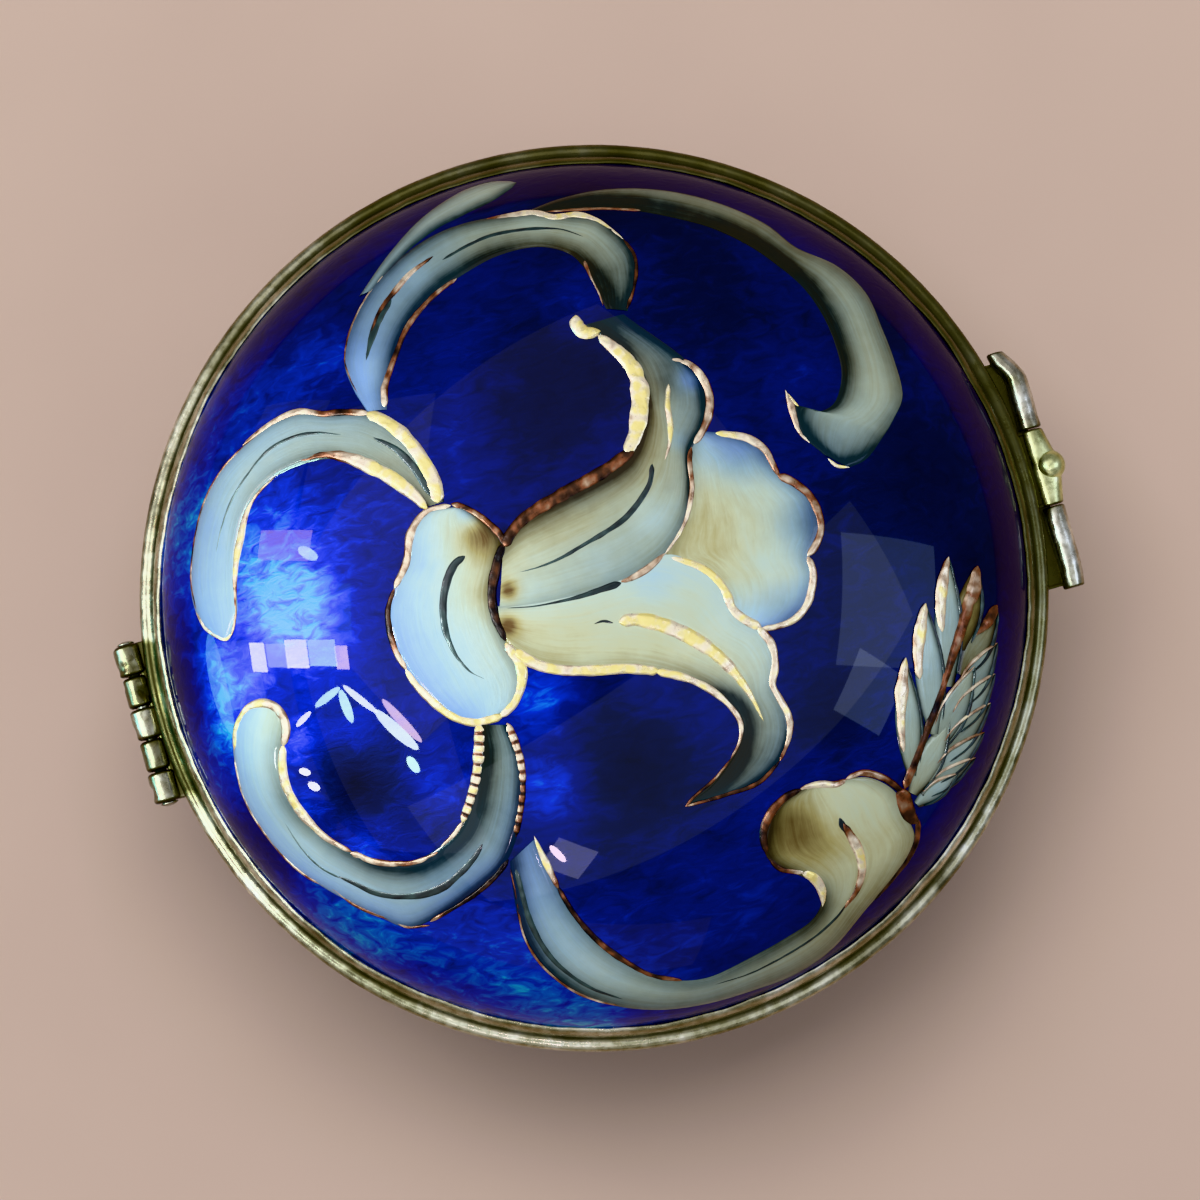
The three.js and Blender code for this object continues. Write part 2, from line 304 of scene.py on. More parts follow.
class Layer:
    """A mesh that collects grids, each bent into a pane or a line, with named values on its points."""

    def __init__(self, surface, *marks):
        self.surface = surface
        self.bm = bmesh.new()
        self.bm.loops.layers.uv.new("UVMap")
        self.marks = {m: self.bm.verts.layers.float.new(m) for m in marks}

    def grid(self, steps, across, place):
        """Adds a grid whose point (u, v) goes where place says, with the values that it gives."""
        made = bmesh.ops.create_grid(self.bm, x_segments=steps, y_segments=across, size=1, calc_uvs=True)
        for v in made["verts"]:
            x, y, lift, values = place((v.co.x + 1) / 2, (v.co.y + 1) / 2)
            v.co = self.surface(x, y, lift)
            for name, value in values.items():
                v[self.marks[name]] = value
        faces = list({f for v in made["verts"] for f in v.link_faces})
        outward = 0.0
        for f in faces:
            f.normal_update()
            outward += f.normal.dot(f.calc_center_median() - Vector((0, 0, SEAM))) * f.calc_area()
        if outward < 0:
            bmesh.ops.reverse_faces(self.bm, faces=faces)

    def finish(self, name, material, body, slot):
        bmesh.ops.remove_doubles(self.bm, verts=self.bm.verts, dist=WELD)
        for f in self.bm.faces:
            f.smooth = True
        return piece(self.bm, name, material, body)


def placed(name, data, matrix=None):
    """Puts an object in the scene."""
    thing = bpy.data.objects.new(name, data)
    if matrix:
        thing.matrix_world = matrix
    bpy.context.scene.collection.objects.link(thing)
    return thing


def piece(bm, name, materials, body, replaced=()):
    """Makes a mesh a piece of the box that moves with a body."""
    mesh = bpy.data.meshes.new(name)
    bm.to_mesh(mesh)
    bm.free()
    for material in materials if isinstance(materials, (list, tuple)) else [materials]:
        mesh.materials.append(material)
    thing = placed(name, mesh)
    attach(thing, body)
    if replaced:
        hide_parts(*replaced)
    return thing


# Shader arithmetic


class Number:
    """A number that varies over a surface. Arithmetic on it adds Math nodes."""

    def __init__(self, finish, socket):
        self.finish = finish
        self.socket = socket

    def __add__(self, other):
        return self.finish.math("ADD", self, other)

    def __sub__(self, other):
        return self.finish.math("SUBTRACT", self, other)

    def __rsub__(self, other):
        return self.finish.math("SUBTRACT", other, self)

    def __mul__(self, other):
        return self.finish.math("MULTIPLY", self, other)

    __radd__ = __add__
    __rmul__ = __mul__


class Finish:
    """A surface finish and the nodes that make it."""

    def __init__(self, name, **constants):
        self.material = bpy.data.materials.new(name)
        self.material.use_nodes = True
        self.tree = self.material.node_tree
        self.shader = self.tree.nodes["Principled BSDF"]
        self.set(**constants)

    def put(self, socket, value):
        if isinstance(value, Number):
            self.tree.links.new(value.socket, socket)
        elif isinstance(value, bpy.types.NodeSocket):
            self.tree.links.new(value, socket)
        elif isinstance(value, (tuple, list)) and len(value) == 3 and len(socket.default_value) == 4:
            socket.default_value = (*value, 1)
        else:
            socket.default_value = value

    def set(self, **values):
        for name, value in values.items():
            self.put(self.shader.inputs[name.replace("_", " ")], value)

    def node(self, kind, settings=None, sockets=None):
        """Adds a node: its settings first, then the values or links of its sockets."""
        made = self.tree.nodes.new(kind)
        for name, value in (settings or {}).items():
            if name == "stops":
                while len(made.color_ramp.elements) < len(value):
                    made.color_ramp.elements.new(1)
                for element, (place, colour) in zip(made.color_ramp.elements, value):
                    element.position = place
                    element.color = (*colour, 1)
            else:
                setattr(made, name, value)
        for name, value in (sockets or {}).items():
            self.put(made.inputs[name], value)
        return made

    def math(self, operation, a, b):
        return Number(self, self.node("ShaderNodeMath", {"operation": operation}, {0: a, 1: b}).outputs[0])

    def spots(self):
        return self.node("ShaderNodeTexCoord").outputs["Object"]

    def stretched(self, scale):
        mapping = self.node("ShaderNodeMapping", {}, {"Vector": self.spots(), "Scale": scale})
        return mapping.outputs[0]

    def noise(self, scale, detail=3.0, roughness=0.5, spots=None, distortion=0.0):
        sockets = {
            "Vector": spots or self.spots(),
            "Scale": scale,
            "Detail": detail,
            "Roughness": roughness,
            "Distortion": distortion,
        }
        return Number(self, self.node("ShaderNodeTexNoise", {}, sockets).outputs[0])

    def mark(self, name):
        return Number(self, self.node("ShaderNodeAttribute", {"attribute_name": name}).outputs["Fac"])

    def spread(self, number, low, high, to_low=0.0, to_high=1.0):
        """Moves a number from one range to another, held at its ends."""
        sockets = {0: number, 1: low, 2: high, 3: to_low, 4: to_high}
        return Number(self, self.node("ShaderNodeMapRange", {"clamp": True}, sockets).outputs[0])

    def ramp(self, number, stops):
        return self.node("ShaderNodeValToRGB", {"stops": stops}, {0: number}).outputs[0]

    def mix(self, share, first, second):
        settings = {"data_type": "RGBA", "clamp_factor": True}
        return self.node("ShaderNodeMix", settings, {0: share, 6: first, 7: second}).outputs[2]

    def bump(self, height, depth, strength=1.0, below=None):
        sockets = {"Height": height, "Distance": depth, "Strength": strength}
        if below:
            sockets["Normal"] = below
        return self.node("ShaderNodeBump", {}, sockets).outputs[0]


# Finishes


def cobalt_finish():
    """Deep translucent blue over a rippled metallic ground, under a clear glaze. Its brightness mark runs
    from dark navy through cobalt to cyan and carries painted sheen, reflection and shade; its rim is painted
    darker as shade.
    """
    f = Finish("cobalt over foil", Coat_Roughness=0.02, Coat_IOR=1.36, Roughness=0.4)
    f.set(Specular_IOR_Level=0.0)
    clouds = f.noise(110, 4, 0.6)
    ripples = f.noise(1500, 3, 0.6, f.stretched((1.0, 0.4, 1.0)), 0.8)
    light = f.mark("glow")
    # Painted light: the ripples show most where the painted sheen is brightest.
    glow = light + (clouds - 0.5) * 0.5 + (ripples - 0.5) * (light * 0.8 + 0.12)
    stops = [
        (0.0, (0.0010, 0.0010, 0.006)),
        (0.3, (0.0018, 0.004, 0.045)),
        (0.55, (0.0018, 0.007, 0.17)),
        (0.76, (0.003, 0.022, 0.46)),
        (0.9, (0.006, 0.12, 0.62)),
        (1.0, (0.02, 0.36, 0.70)),
    ]
    # Painted shade along the rim, in dark violet; the coat is thinner there too.
    body = f.mix(f.mark("edge"), f.ramp(glow, stops), (0.016, 0.011, 0.06))
    f.set(
        Base_Color=body,
        Coat_Weight=1 - f.mark("edge") * 0.6,
        Metallic=f.spread(clouds, 0.3, 0.7, 0.5, 0.7),
        Normal=f.bump(ripples, 0.05 * MM, 0.9, f.bump(clouds, 0.3 * MM, 0.25)),
    )
    return f.material


def opal_finish():
    """Opal enamel from sky blue through celadon and cream to brown, shaded dark towards its edges."""
    f = Finish("opal enamel", Coat_Weight=1.0, Coat_Roughness=0.025, Coat_IOR=1.36, Roughness=0.4)
    f.set(Specular_IOR_Level=0.0, Metallic=0.2)
    clouds = f.noise(260, 4, 0.62)
    along_it = f.node("ShaderNodeUVMap", {"uv_map": "UVMap"}).outputs[0]
    strokes = f.node("ShaderNodeMapping", {}, {"Vector": along_it, "Scale": (5.0, 26.0, 1.0)}).outputs[0]
    streaks = f.noise(1.0, 4, 0.65, strokes, 0.4)
    specks = f.noise(1300, 3, 0.6)
    tint = f.mark("warm") + (clouds - 0.5) * 0.3 + (streaks - 0.5) * 0.22
    stops = [
        (0.0, (0.31, 0.52, 0.88)),
        (0.25, (0.47, 0.70, 0.78)),
        (0.5, (0.60, 0.74, 0.60)),
        (0.68, (0.64, 0.68, 0.43)),
        (0.84, (0.52, 0.46, 0.19)),
        (1.0, (0.20, 0.12, 0.045)),
    ]
    shadows = [(0.0, (0.008, 0.020, 0.06)), (0.4, (0.014, 0.030, 0.034)), (0.75, (0.030, 0.022, 0.009))]
    # The enamel's own shading with painted shade from the shade mark, and mottling from noise.
    shade_and_mottling = f.mark("shade") + (streaks - 0.5) * 0.22 + (specks - 0.5) * 0.14 + (clouds - 0.5) * 0.12
    f.set(
        Base_Color=f.mix(f.spread(shade_and_mottling, 0.03, 0.97), f.ramp(tint, stops), f.ramp(tint, shadows)),
        Normal=f.bump(specks, 0.03 * MM, 0.35, f.bump(streaks, 0.03 * MM, 0.4)),
    )
    return f.material


def gilding_finish():
    """Raised gold, from brown copper to bright gold by a tone that each line sets along its length."""
    f = Finish("raised gilding", Metallic=0.55)
    flakes = f.noise(1700, 2, 0.6)
    tint = f.mark("tone") + (flakes - 0.5) * 0.4
    stops = [
        (0.0, (0.012, 0.009, 0.008)),
        (0.2, (0.075, 0.038, 0.022)),
        (0.33, (0.25, 0.095, 0.045)),
        (0.44, (0.32, 0.19, 0.11)),
        (0.62, (0.66, 0.52, 0.37)),
        (0.8, (0.92, 0.81, 0.60)),
        (0.9, (1.0, 0.90, 0.58)),
        (1.0, (1.0, 0.86, 0.32)),
    ]
    f.set(
        Base_Color=f.ramp(tint, stops),
        Roughness=f.spread(flakes, 0.3, 0.7, 0.22, 0.42),
        Normal=f.bump(f.noise(2600, 2, 0.5), 0.05 * MM, 0.7),
    )
    return f.material


def vein_finish():
    """Fine dark lines painted on the enamel."""
    f = Finish("painted veins", Coat_Weight=0.6, Coat_Roughness=0.08)
    tint = f.mark("tone") + (f.noise(900, 2) - 0.5) * 0.3
    stops = [(0.0, (0.010, 0.016, 0.016)), (0.5, (0.05, 0.10, 0.09)), (1.0, (0.22, 0.34, 0.32))]
    f.set(Base_Color=f.ramp(tint, stops), Roughness=0.4, Metallic=0.3)
    return f.material


def metal_finish(name, stops, roughness, dents):
    """Old gilt metal: clouded colour with fine scratches and small dents, darkened by patina in its hollows
    and by painted shade and shadow.
    """
    f = Finish(name, Metallic=1.0)
    clouds = f.noise(230, 4, 0.65)
    grain = f.noise(1300, 3, 0.6, f.stretched((1.0, 1.0, 2.2)))
    shine = f.ramp(f.spread(clouds + (grain - 0.5) * 0.5, 0.3, 0.7), stops)
    hollow = f.mark("hollow")
    darkened = f.mix(f.spread(hollow, 0.0, 0.8), shine, (0.18, 0.17, 0.065))
    f.set(
        Base_Color=f.mix(f.spread(hollow, 0.35, 1.0), darkened, (0.022, 0.020, 0.009)),
        Roughness=f.spread(grain, 0.3, 0.7, roughness, roughness + 0.18),
        Normal=f.bump(grain, 0.05 * MM, 0.45, f.bump(f.noise(420, 2), dents * MM, 0.6)),
    )
    return f.material


def gilt_finish():
    stops = [(0.0, (0.15, 0.14, 0.09)), (0.4, (0.37, 0.35, 0.24))]
    stops += [(0.75, (0.64, 0.62, 0.48)), (1.0, (0.86, 0.84, 0.74))]
    return metal_finish("old gilt", stops, 0.2, 0.12)


def thumb_finish():
    stops = [(0.0, (0.26, 0.27, 0.10)), (0.4, (0.50, 0.52, 0.25))]
    stops += [(0.75, (0.78, 0.80, 0.43)), (1.0, (0.92, 0.92, 0.60))]
    return metal_finish("yellow gilt", stops, 0.2, 0.08)


def worn_finish():
    stops = [(0.0, (0.12, 0.11, 0.075)), (0.45, (0.38, 0.36, 0.28)), (1.0, (0.84, 0.83, 0.74))]
    return metal_finish("gilt worn to silver", stops, 0.18, 0.2)


def inside_finish():
    """Plain pale glaze of the inside."""
    f = Finish("pale glaze", Coat_Weight=1.0, Coat_Roughness=0.05, Roughness=0.35)
    clouds = f.noise(160, 3)
    f.set(
        Base_Color=f.ramp(clouds, [(0.3, (0.60, 0.68, 0.66)), (0.7, (0.74, 0.78, 0.73))]),
        Normal=f.bump(clouds, 0.06 * MM, 0.2),
    )
    return f.material


def floor_finish():
    f = Finish("pale floor", Roughness=0.85, Specular_IOR_Level=0.0)
    clouds = f.spread(f.noise(24, 3, 0.55), 0.3, 0.7)
    f.set(Base_Color=f.mix(clouds, (0.69, 0.53, 0.425), (0.75, 0.58, 0.465)))
    return f.material


# Porcelain


def turned(spots, axis, steps, closed):
    """A smooth mesh turned about an axis from points. A closed one is a ring, clear of the axis."""
    bm = bmesh.new()
    points = [bm.verts.new(spot) for spot in spots]
    edges = [bm.edges.new(pair) for pair in zip(points, points[1:])]
    if closed:
        edges.append(bm.edges.new((points[-1], points[0])))
    bmesh.ops.spin(
        bm, geom=points + edges, cent=(0, 0, 0), axis=axis, angle=math.tau, steps=steps, use_merge=True
    )
    bmesh.ops.remove_doubles(bm, verts=bm.verts, dist=WELD)
    bmesh.ops.recalc_face_normals(bm, faces=bm.faces)
    for f in bm.faces:
        f.smooth = True
    return bm


def spun(profile, steps, material_of=None):
    """A ring or shell turned about the Z axis from points (radius, height)."""
    bm = turned([(r, 0, z) for r, z in profile], (0, 0, 1), steps, profile[0][0] > 0)
    if material_of:
        for f in bm.faces:
            f.material_index = material_of(f)
    return bm


def dome_curve(radius, rise, steps):
    turns = [math.pi / 2 * i / steps for i in range(steps)]
    return [(radius * math.cos(t), LID_EDGE + rise * math.sin(t)) for t in turns] + [(0, LID_EDGE + rise)]


def lid_shell(outside, inside):
    outer = dome_curve(SEAT_RADIUS, DOME_RISE, 90)
    inner = dome_curve(SEAT_RADIUS - WALL, DOME_RISE - WALL, 40)[::-1]

    def which(face):
        middle = face.calc_center_median()
        share = math.hypot(middle.x, middle.y) / (SEAT_RADIUS - WALL / 2)
        height = (middle.z - LID_EDGE) / (DOME_RISE - WALL / 2)
        return 0 if share**2 + height**2 > 1 else 1

    bm = spun([*inner, *outer], 280, which)
    glow = bm.verts.layers.float.new("glow")
    edge = bm.verts.layers.float.new("edge")
    for v in bm.verts:
        x, y = seen_at(v.co)
        # Painted sheen, reflection and shade on the cobalt: its base brightness with soft spots added.
        light = GROUND_GLOW
        for spot_x, spot_y, radius, brighter in GROUND_PAINTED_LIGHT:
            light += brighter * soft_spot(x, y, spot_x, spot_y, radius)
        v[glow] = held(light)
        # Painted shade along the rim, growing to the upper right.
        v[edge] = smooth((math.hypot(x, y) - EDGE_FROM) / EDGE_WIDTH) * (0.4 + (x + y) / EDGE_SLOPE)
    piece(bm, "lid_porcelain", [outside, inside], "lid", ["lid_dome"])


def bowl_radius(depth, rim, foot, full):
    share = (depth / full) ** BOWL_FULLNESS * (1 - (foot / rim) ** BOWL_FULLNESS)
    return rim * (1 - share) ** (1 / BOWL_FULLNESS)


def bowl_curve(rim, foot, full, steps):
    depths = [full * math.sin(math.pi / 2 * i / steps) for i in range(steps + 1)]
    return [(bowl_radius(d, rim, foot, full), BOWL_EDGE - d) for d in depths]


def bowl_shell(outside, inside, foot_finish):
    outer = bowl_curve(SEAT_RADIUS, BOWL_FOOT, BOWL_DEPTH, 60)
    inner = bowl_curve(SEAT_RADIUS - WALL, FOOT_RADIUS - WALL / 2, BOWL_EDGE - FLOOR_THICKNESS, 40)[::-1]
    corner = []
    for i in range(1, 7):
        turn = math.pi / 2 * i / 6
        corner.append((FOOT_RADIUS + FOOT_ROUNDING * math.cos(turn), FOOT_ROUNDING * (1 - math.sin(turn))))

    def which(face):
        middle = face.calc_center_median()
        radius = math.hypot(middle.x, middle.y)
        if middle.z < FOOT_ROUNDING * 0.4:
            return 2
        wall = bowl_radius(min(BOWL_EDGE - middle.z, BOWL_DEPTH), SEAT_RADIUS, BOWL_FOOT, BOWL_DEPTH)
        return 1 if radius < wall - WALL / 2 else 0

    profile = [(0, FLOOR_THICKNESS), *inner, *outer, *corner, (0, 0)]
    bm = spun(profile, 200, which)
    glow = bm.verts.layers.float.new("glow")
    for v in bm.verts:
        # Painted shade: the cobalt darker towards the foot.
        v[glow] = BOWL_GLOW - 0.2 * smooth(1 - v.co.z / BOWL_EDGE)
    piece(bm, "bowl_porcelain", [outside, inside, foot_finish], "base", ["base_bowl"])


def bowl_leaves(enamel, gilding):
    """Plain leaves that follow each other in a wave round the bowl, between two gilt bands."""
    panes = Layer(on_bowl, "warm", "shade")
    lines = Layer(on_bowl, "tone")
    pitch = math.tau * SEAT_RADIUS / MM / BOWL_LEAVES
    turns = [math.radians(t) for t in range(-90, 91, 30)]
    for k in range(BOWL_LEAVES):
        side = 1 if k % 2 else -1
        x = [pitch * (k + 0.5 + 0.47 * math.sin(t)) for t in turns]
        far = [(px, BOWL_LEAF_Y + side * 2.7 * math.cos(t)) for px, t in zip(x, turns)]
        near = [(px, BOWL_LEAF_Y + side * 0.6 * math.cos(t)) for px, t in zip(x, turns)]
        middle = [(px, BOWL_LEAF_Y + side * 1.5 * math.cos(t)) for px, t in zip(x[1:-1], turns[1:-1])]
        pane(
            panes, far, near, warm=(0.6, 0.3, 0.2, 0.35, 0.6), dark=((0.3,), (0.8,)), reach=(0.4, 0.5),
            dim=(0.3, 0.0, 0.3),
        )
        line(lines, far, (0.15, 0.4, 0.15), (0.6, 0.85, 0.5))
        line(lines, near, (0.15, 0.3, 0.15), (0.3, 0.6, 0.3))
        line(lines, middle, (0.05, 0.25, 0.05), (0.12, 0.2), relief=0.5, base=PANE_RELIEF, outlined=0.0)
    panes.finish("bowl_enamel", enamel, "base", "cobalt_glaze")
    bands = lines.bm
    for depth in BOWL_BANDS:
        rows = []
        for across in np.linspace(-1, 1, 7):
            spot = on_bowl(0, -depth + across * BAND_HALF, BAND_RISE * (1 - across**2) - SUNK)
            rows.append((spot.x, spot.z))
        band = spun(rows, 240)
        tone = band.verts.layers.float.new("tone")
        for v in band.verts:
            v[tone] = 0.7 + 0.3 * noise.noise(v.co / MM * 0.4)
        mesh = bpy.data.meshes.new("band")
        band.to_mesh(mesh)
        band.free()
        bands.from_mesh(mesh)
        bpy.data.meshes.remove(mesh)
    lines.finish("bowl_gilding", gilding, "base", "gilt_mount")


# Mounts


def mount_section(radius_at):
    """Points (radius, distance from the seam) round a mount: shelf, bead, cove and bezel."""
    face = SEAM_GAP / 2
    edge_inner = SEAT_RADIUS - WALL
    section = [(edge_inner, face)]
    for i in range(17):
        turn = math.pi * (i / 16 - 0.5) * 0.96
        out = MOUNT_RADIUS - BEAD_RADIUS + BEAD_RADIUS * math.cos(turn)
        section.append((out, face + BEAD_RADIUS + BEAD_RADIUS * math.sin(turn)))
    bezel_foot = SEAT_RADIUS + CEMENT_GAP + BEZEL_WALL
    cove = face + 2 * BEAD_RADIUS
    reach = BEZEL_HEIGHT - SHELF_HEIGHT
    section.append((bezel_foot - COVE_DEPTH, cove))
    section.append((bezel_foot - COVE_DEPTH * 0.6, cove + COVE_DEPTH * 0.3))
    section.append((bezel_foot, cove + COVE_DEPTH))
    for share, wall in ((0.35, 1.0), (0.6, 0.95), (0.8, 0.8), (0.92, 0.55), (1.0, 0.25)):
        out = radius_at(reach * share) + CEMENT_GAP + BEZEL_WALL * wall
        section.append((out, SHELF_HEIGHT + reach * share))
    section.append((radius_at(reach), BEZEL_HEIGHT))
    section.append((radius_at(reach / 2) + CEMENT_GAP / 2, SHELF_HEIGHT + reach / 2))
    section.append((SEAT_RADIUS + CEMENT_GAP / 2, SHELF_HEIGHT - CEMENT_GAP))
    section.append((edge_inner, SHELF_HEIGHT - CEMENT_GAP))
    return section


def dome_radius(height):
    return SEAT_RADIUS * math.sqrt(1 - (height / DOME_RISE) ** 2)


def rub_bezel(bm, top, unevenness):
    """Makes the bezel's edge wander a little, as an edge that was rubbed over by hand does."""
    for v in bm.verts:
        near = smooth((abs(v.co.z - SEAM) - top * 0.62) / (top * 0.38))
        radius = math.hypot(v.co.x, v.co.y)
        angle = math.atan2(v.co.y, v.co.x)
        spot = Vector((math.cos(angle) * 9, math.sin(angle) * 9, 3.7 + v.co.z / MM * 0.05))
        fine = Vector((math.cos(angle) * 26, math.sin(angle) * 26, 1.3))
        wander = noise.noise(spot) * 0.7 + noise.noise(fine) * 0.5
        outer = smooth((radius - SEAT_RADIUS * 0.985) / (0.3 * MM))
        move = unevenness * wander * near * (0.35 + 0.65 * outer)
        dent = 0.035 * MM * noise.noise(fine * 1.6) * smooth((radius - BEAD_DENTS_FROM) / (0.4 * MM))
        scale = (radius + move - abs(dent) * 0.7) / radius
        v.co.x *= scale
        v.co.y *= scale
        v.co.z += math.copysign(move * 0.6, v.co.z - SEAM) * near


def add_pad(bm, left, right, y_axis, low, high, cut_radius):
    """A straight pad on a mount, behind tubes that lie along a tangent."""
    side = math.copysign(1, y_axis)
    far = abs(y_axis) - cut_radius
    made = bmesh.ops.create_cube(bm, size=1)["verts"]
    for v in made:
        near = v.co.y < 0
        reach = PAD_INNER if near else far
        v.co = Vector((left if v.co.x < 0 else right, side * reach, low if v.co.z < 0 else high))
    edges = {e for v in made for e in v.link_edges}
    bmesh.ops.bevel(
        bm,
        geom=list(edges),
        offset=PAD_ROUNDING,
        offset_type="OFFSET",
        segments=3,
        profile=0.5,
        affect="EDGES",
        material=-1,
    )


def darken_patina_and_shade(bm, spots):
    """Marks how dark the metal is: patina in hollows given as (radius, height, reach), painted shade to one
    side of the picture and below, and painted shadow behind hinge and catch.
    """
    hollow = bm.verts.layers.float.new("hollow")
    for v in bm.verts:
        radius = math.hypot(v.co.x, v.co.y)
        angle = math.atan2(v.co.y, v.co.x)
        patchy = 0.75 + 0.5 * noise.noise(Vector((math.cos(angle) * 14, math.sin(angle) * 14, 5.0)))
        dark = 0.0
        for spot_radius, spot_height, reach in spots:
            away = ((radius - spot_radius) ** 2 + (abs(v.co.z - SEAM) - spot_height) ** 2) / reach**2
            dark = max(dark, math.exp(-away))
        # Painted shadow on the mount behind the hinge and the catch.
        at_hinge = smooth((HINGE_DARK_HALF - abs(v.co.x)) / DARK_FADE) * (v.co.y > 0)
        at_catch = smooth((CATCH_DARK_HALF - abs(v.co.x)) / DARK_FADE) * (v.co.y < 0)
        outer = smooth((max(radius, abs(v.co.y)) - SEAT_RADIUS - BEZEL_WALL * 1.2) / (0.3 * MM))
        outside_bead = smooth((max(radius, abs(v.co.y)) - MOUNT_RADIUS + 0.15 * MM) / (0.15 * MM))
        x, y = seen_at(v.co)
        # Painted shade, strongest to one side of the picture and towards its bottom.
        side_shade = SIDE_SHADE * smooth(((x * SIDE_SHADE_TOWARD[0] + y * SIDE_SHADE_TOWARD[1]) * MM / radius + 0.35) / 1.2)
        below = SHADE_BELOW * smooth((-y * MM / radius - 0.6) / 0.4)
        dark = max(dark * patchy * 1.15, (side_shade + below) * (0.6 + 0.5 * patchy))
        v[hollow] = min(max(dark, 0.95 * at_hinge * outer, at_catch * outside_bead), 1.0)


def mounts(metal):
    section = mount_section(dome_radius)
    ring = spun([(r, SEAM + d) for r, d in section], RING_STEPS)
    rub_bezel(ring, BEZEL_HEIGHT, 0.13 * MM)
    cove = (SEAT_RADIUS + BEZEL_WALL, 0.95 * MM, 0.2 * MM)
    groove = (SEAT_RADIUS + BEZEL_WALL * 0.85, 1.5 * MM, 0.16 * MM)
    above = (SEAM + SEAM_GAP / 2, SEAM + LID_PAD_RISE)
    add_pad(ring, -HINGE_PAD_HALF, HINGE_PAD_HALF, HINGE_Y, *above, KNUCKLE_RADIUS * 0.5)
    add_pad(ring, -THUMB_PAD_HALF, THUMB_PAD_HALF, CATCH_Y, *above, BAR_RADIUS * 0.4)
    bmesh.ops.recalc_face_normals(ring, faces=ring.faces)
    darken_patina_and_shade(ring, [cove, groove])
    piece(ring, "lid_mount_gilt", metal, "lid", ["lid_mount"])

    section = mount_section(lambda depth: bowl_radius(depth, SEAT_RADIUS, BOWL_FOOT, BOWL_DEPTH))
    lip_outer = SEAT_RADIUS - WALL - LIP_GAP
    lip = [
        (lip_outer - LIP_WALL, -section[-1][1]),
        (lip_outer - LIP_WALL, LIP_HEIGHT - LIP_CORNER),
        (lip_outer - LIP_WALL * 0.75, LIP_HEIGHT),
        (lip_outer - LIP_WALL * 0.25, LIP_HEIGHT),
        (lip_outer, LIP_HEIGHT - LIP_CORNER),
        (lip_outer, -section[0][1]),
    ]
    profile = [(r, SEAM - d) for r, d in section] + [(r, SEAM + d) for r, d in lip]
    ring = spun(profile, RING_STEPS)
    rub_bezel(ring, BEZEL_HEIGHT, 0.09 * MM)
    below = (SEAM - HINGE_PAD_DROP, SEAM - SEAM_GAP / 2)
    add_pad(ring, -HINGE_PAD_HALF, HINGE_PAD_HALF, HINGE_Y, *below, KNUCKLE_RADIUS * 0.5)
    below = (SEAM - BARS_PAD_DROP[0], SEAM - BARS_PAD_DROP[1])
    add_pad(ring, *BARS_PAD, CATCH_Y, *below, BAR_RADIUS * 0.4)
    bmesh.ops.recalc_face_normals(ring, faces=ring.faces)
    darken_patina_and_shade(ring, [cove, groove])
    piece(ring, "base_mount_gilt", metal, "base", ["base_mount"])


# Hinge and catch


def turned_tube(profile, centre, dents, seed, steps=40, dark=0.0):
    """A tube or bar along X from points (place along it, radius), with flats and small dents.

    dark says how dark it is all over. It is darker in its dents too and, when dark is set, at its ends as
    painted shade where it meets its neighbours.
    """
    bore = profile[0][1]
    bm = turned([(x, 0, r) for x, r in profile], (1, 0, 0), steps, bore > 0)
    hollow = bm.verts.layers.float.new("hollow")
    half = max(abs(x) for x, _ in profile)
    for v in bm.verts:
        radius = math.hypot(v.co.y, v.co.z)
        spot = Vector((v.co.x / MM * 0.9 + seed, v.co.y / MM * 1.1, v.co.z / MM * 1.1))
        dent = max(noise.noise(spot) * 1.1 + noise.noise(spot * 2.3) * 0.35, 0)
        near_end = smooth((abs(v.co.x) - half + 0.22 * MM) / (0.2 * MM))
        v[hollow] = held(dark + 0.7 * dent + 0.7 * near_end * (dark > 0))
        if radius > bore:
            dented = 1 - dents * dent * min((radius - bore) / (0.25 * MM), 1.0)
            v.co.y *= dented
            v.co.z *= dented
    bmesh.ops.translate(bm, verts=bm.verts, vec=centre)
    return bm


def barrel_profile(half, radius, rounding, bore=0.0):
    """Points of a barrel with rounded rims. It has a bore, or its ends close on the axis."""
    rim = []
    for i in range(7):
        turn = math.pi / 2 * i / 6
        x = half - rounding + rounding * math.sin(turn)
        rim.append((x, radius - rounding + rounding * math.cos(turn)))
    steps = [(half * (i / 6 - 1) * 0.85, radius) for i in range(1, 12)]
    left = [(-x, r) for x, r in rim[::-1]]
    end = [(half - 0.02 * MM, bore)]
    return [(-end[0][0], bore), *left, *steps, *rim, *end]


def hinge(metal):
    for index, name in enumerate(
        ["base_knuckle_1", "lid_knuckle_2", "base_knuckle_3", "lid_knuckle_4", "base_knuckle_5"]
    ):
        low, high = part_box(name)
        half = (high.x - low.x) / 2
        centre = Vector(((low.x + high.x) / 2, HINGE_Y, SEAM))
        body = name.split("_")[0]
        radius, dark = (KNUCKLE_RADIUS, 0.34) if body == "base" else (KNUCKLE_RADIUS * 0.92, 0.56)
        profile = barrel_profile(half, radius, KNUCKLE_ROUNDING, KNUCKLE_BORE)
        bm = turned_tube(profile, centre, 0.3, 3.1 * index + 0.7, dark=dark)
        piece(bm, f"{name}_worn", metal, body, [name])
    low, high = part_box("hinge_pin")
    half = (high.x - low.x) / 2
    profile = [(-half, 0.0), (-half, 0.2 * MM), (-half + 0.06 * MM, 0.38 * MM)]
    profile += [(-half + 0.15 * MM, PIN_HEAD_RADIUS), (-half + 0.2 * MM, PIN_RADIUS)]
    profile += [(-x, r) for x, r in profile[::-1]]
    bm = turned_tube(profile, Vector((0, HINGE_Y, SEAM)), 0.05, 9.0)
    piece(bm, "hinge_pin_worn", metal, "base", ["hinge_pin"])


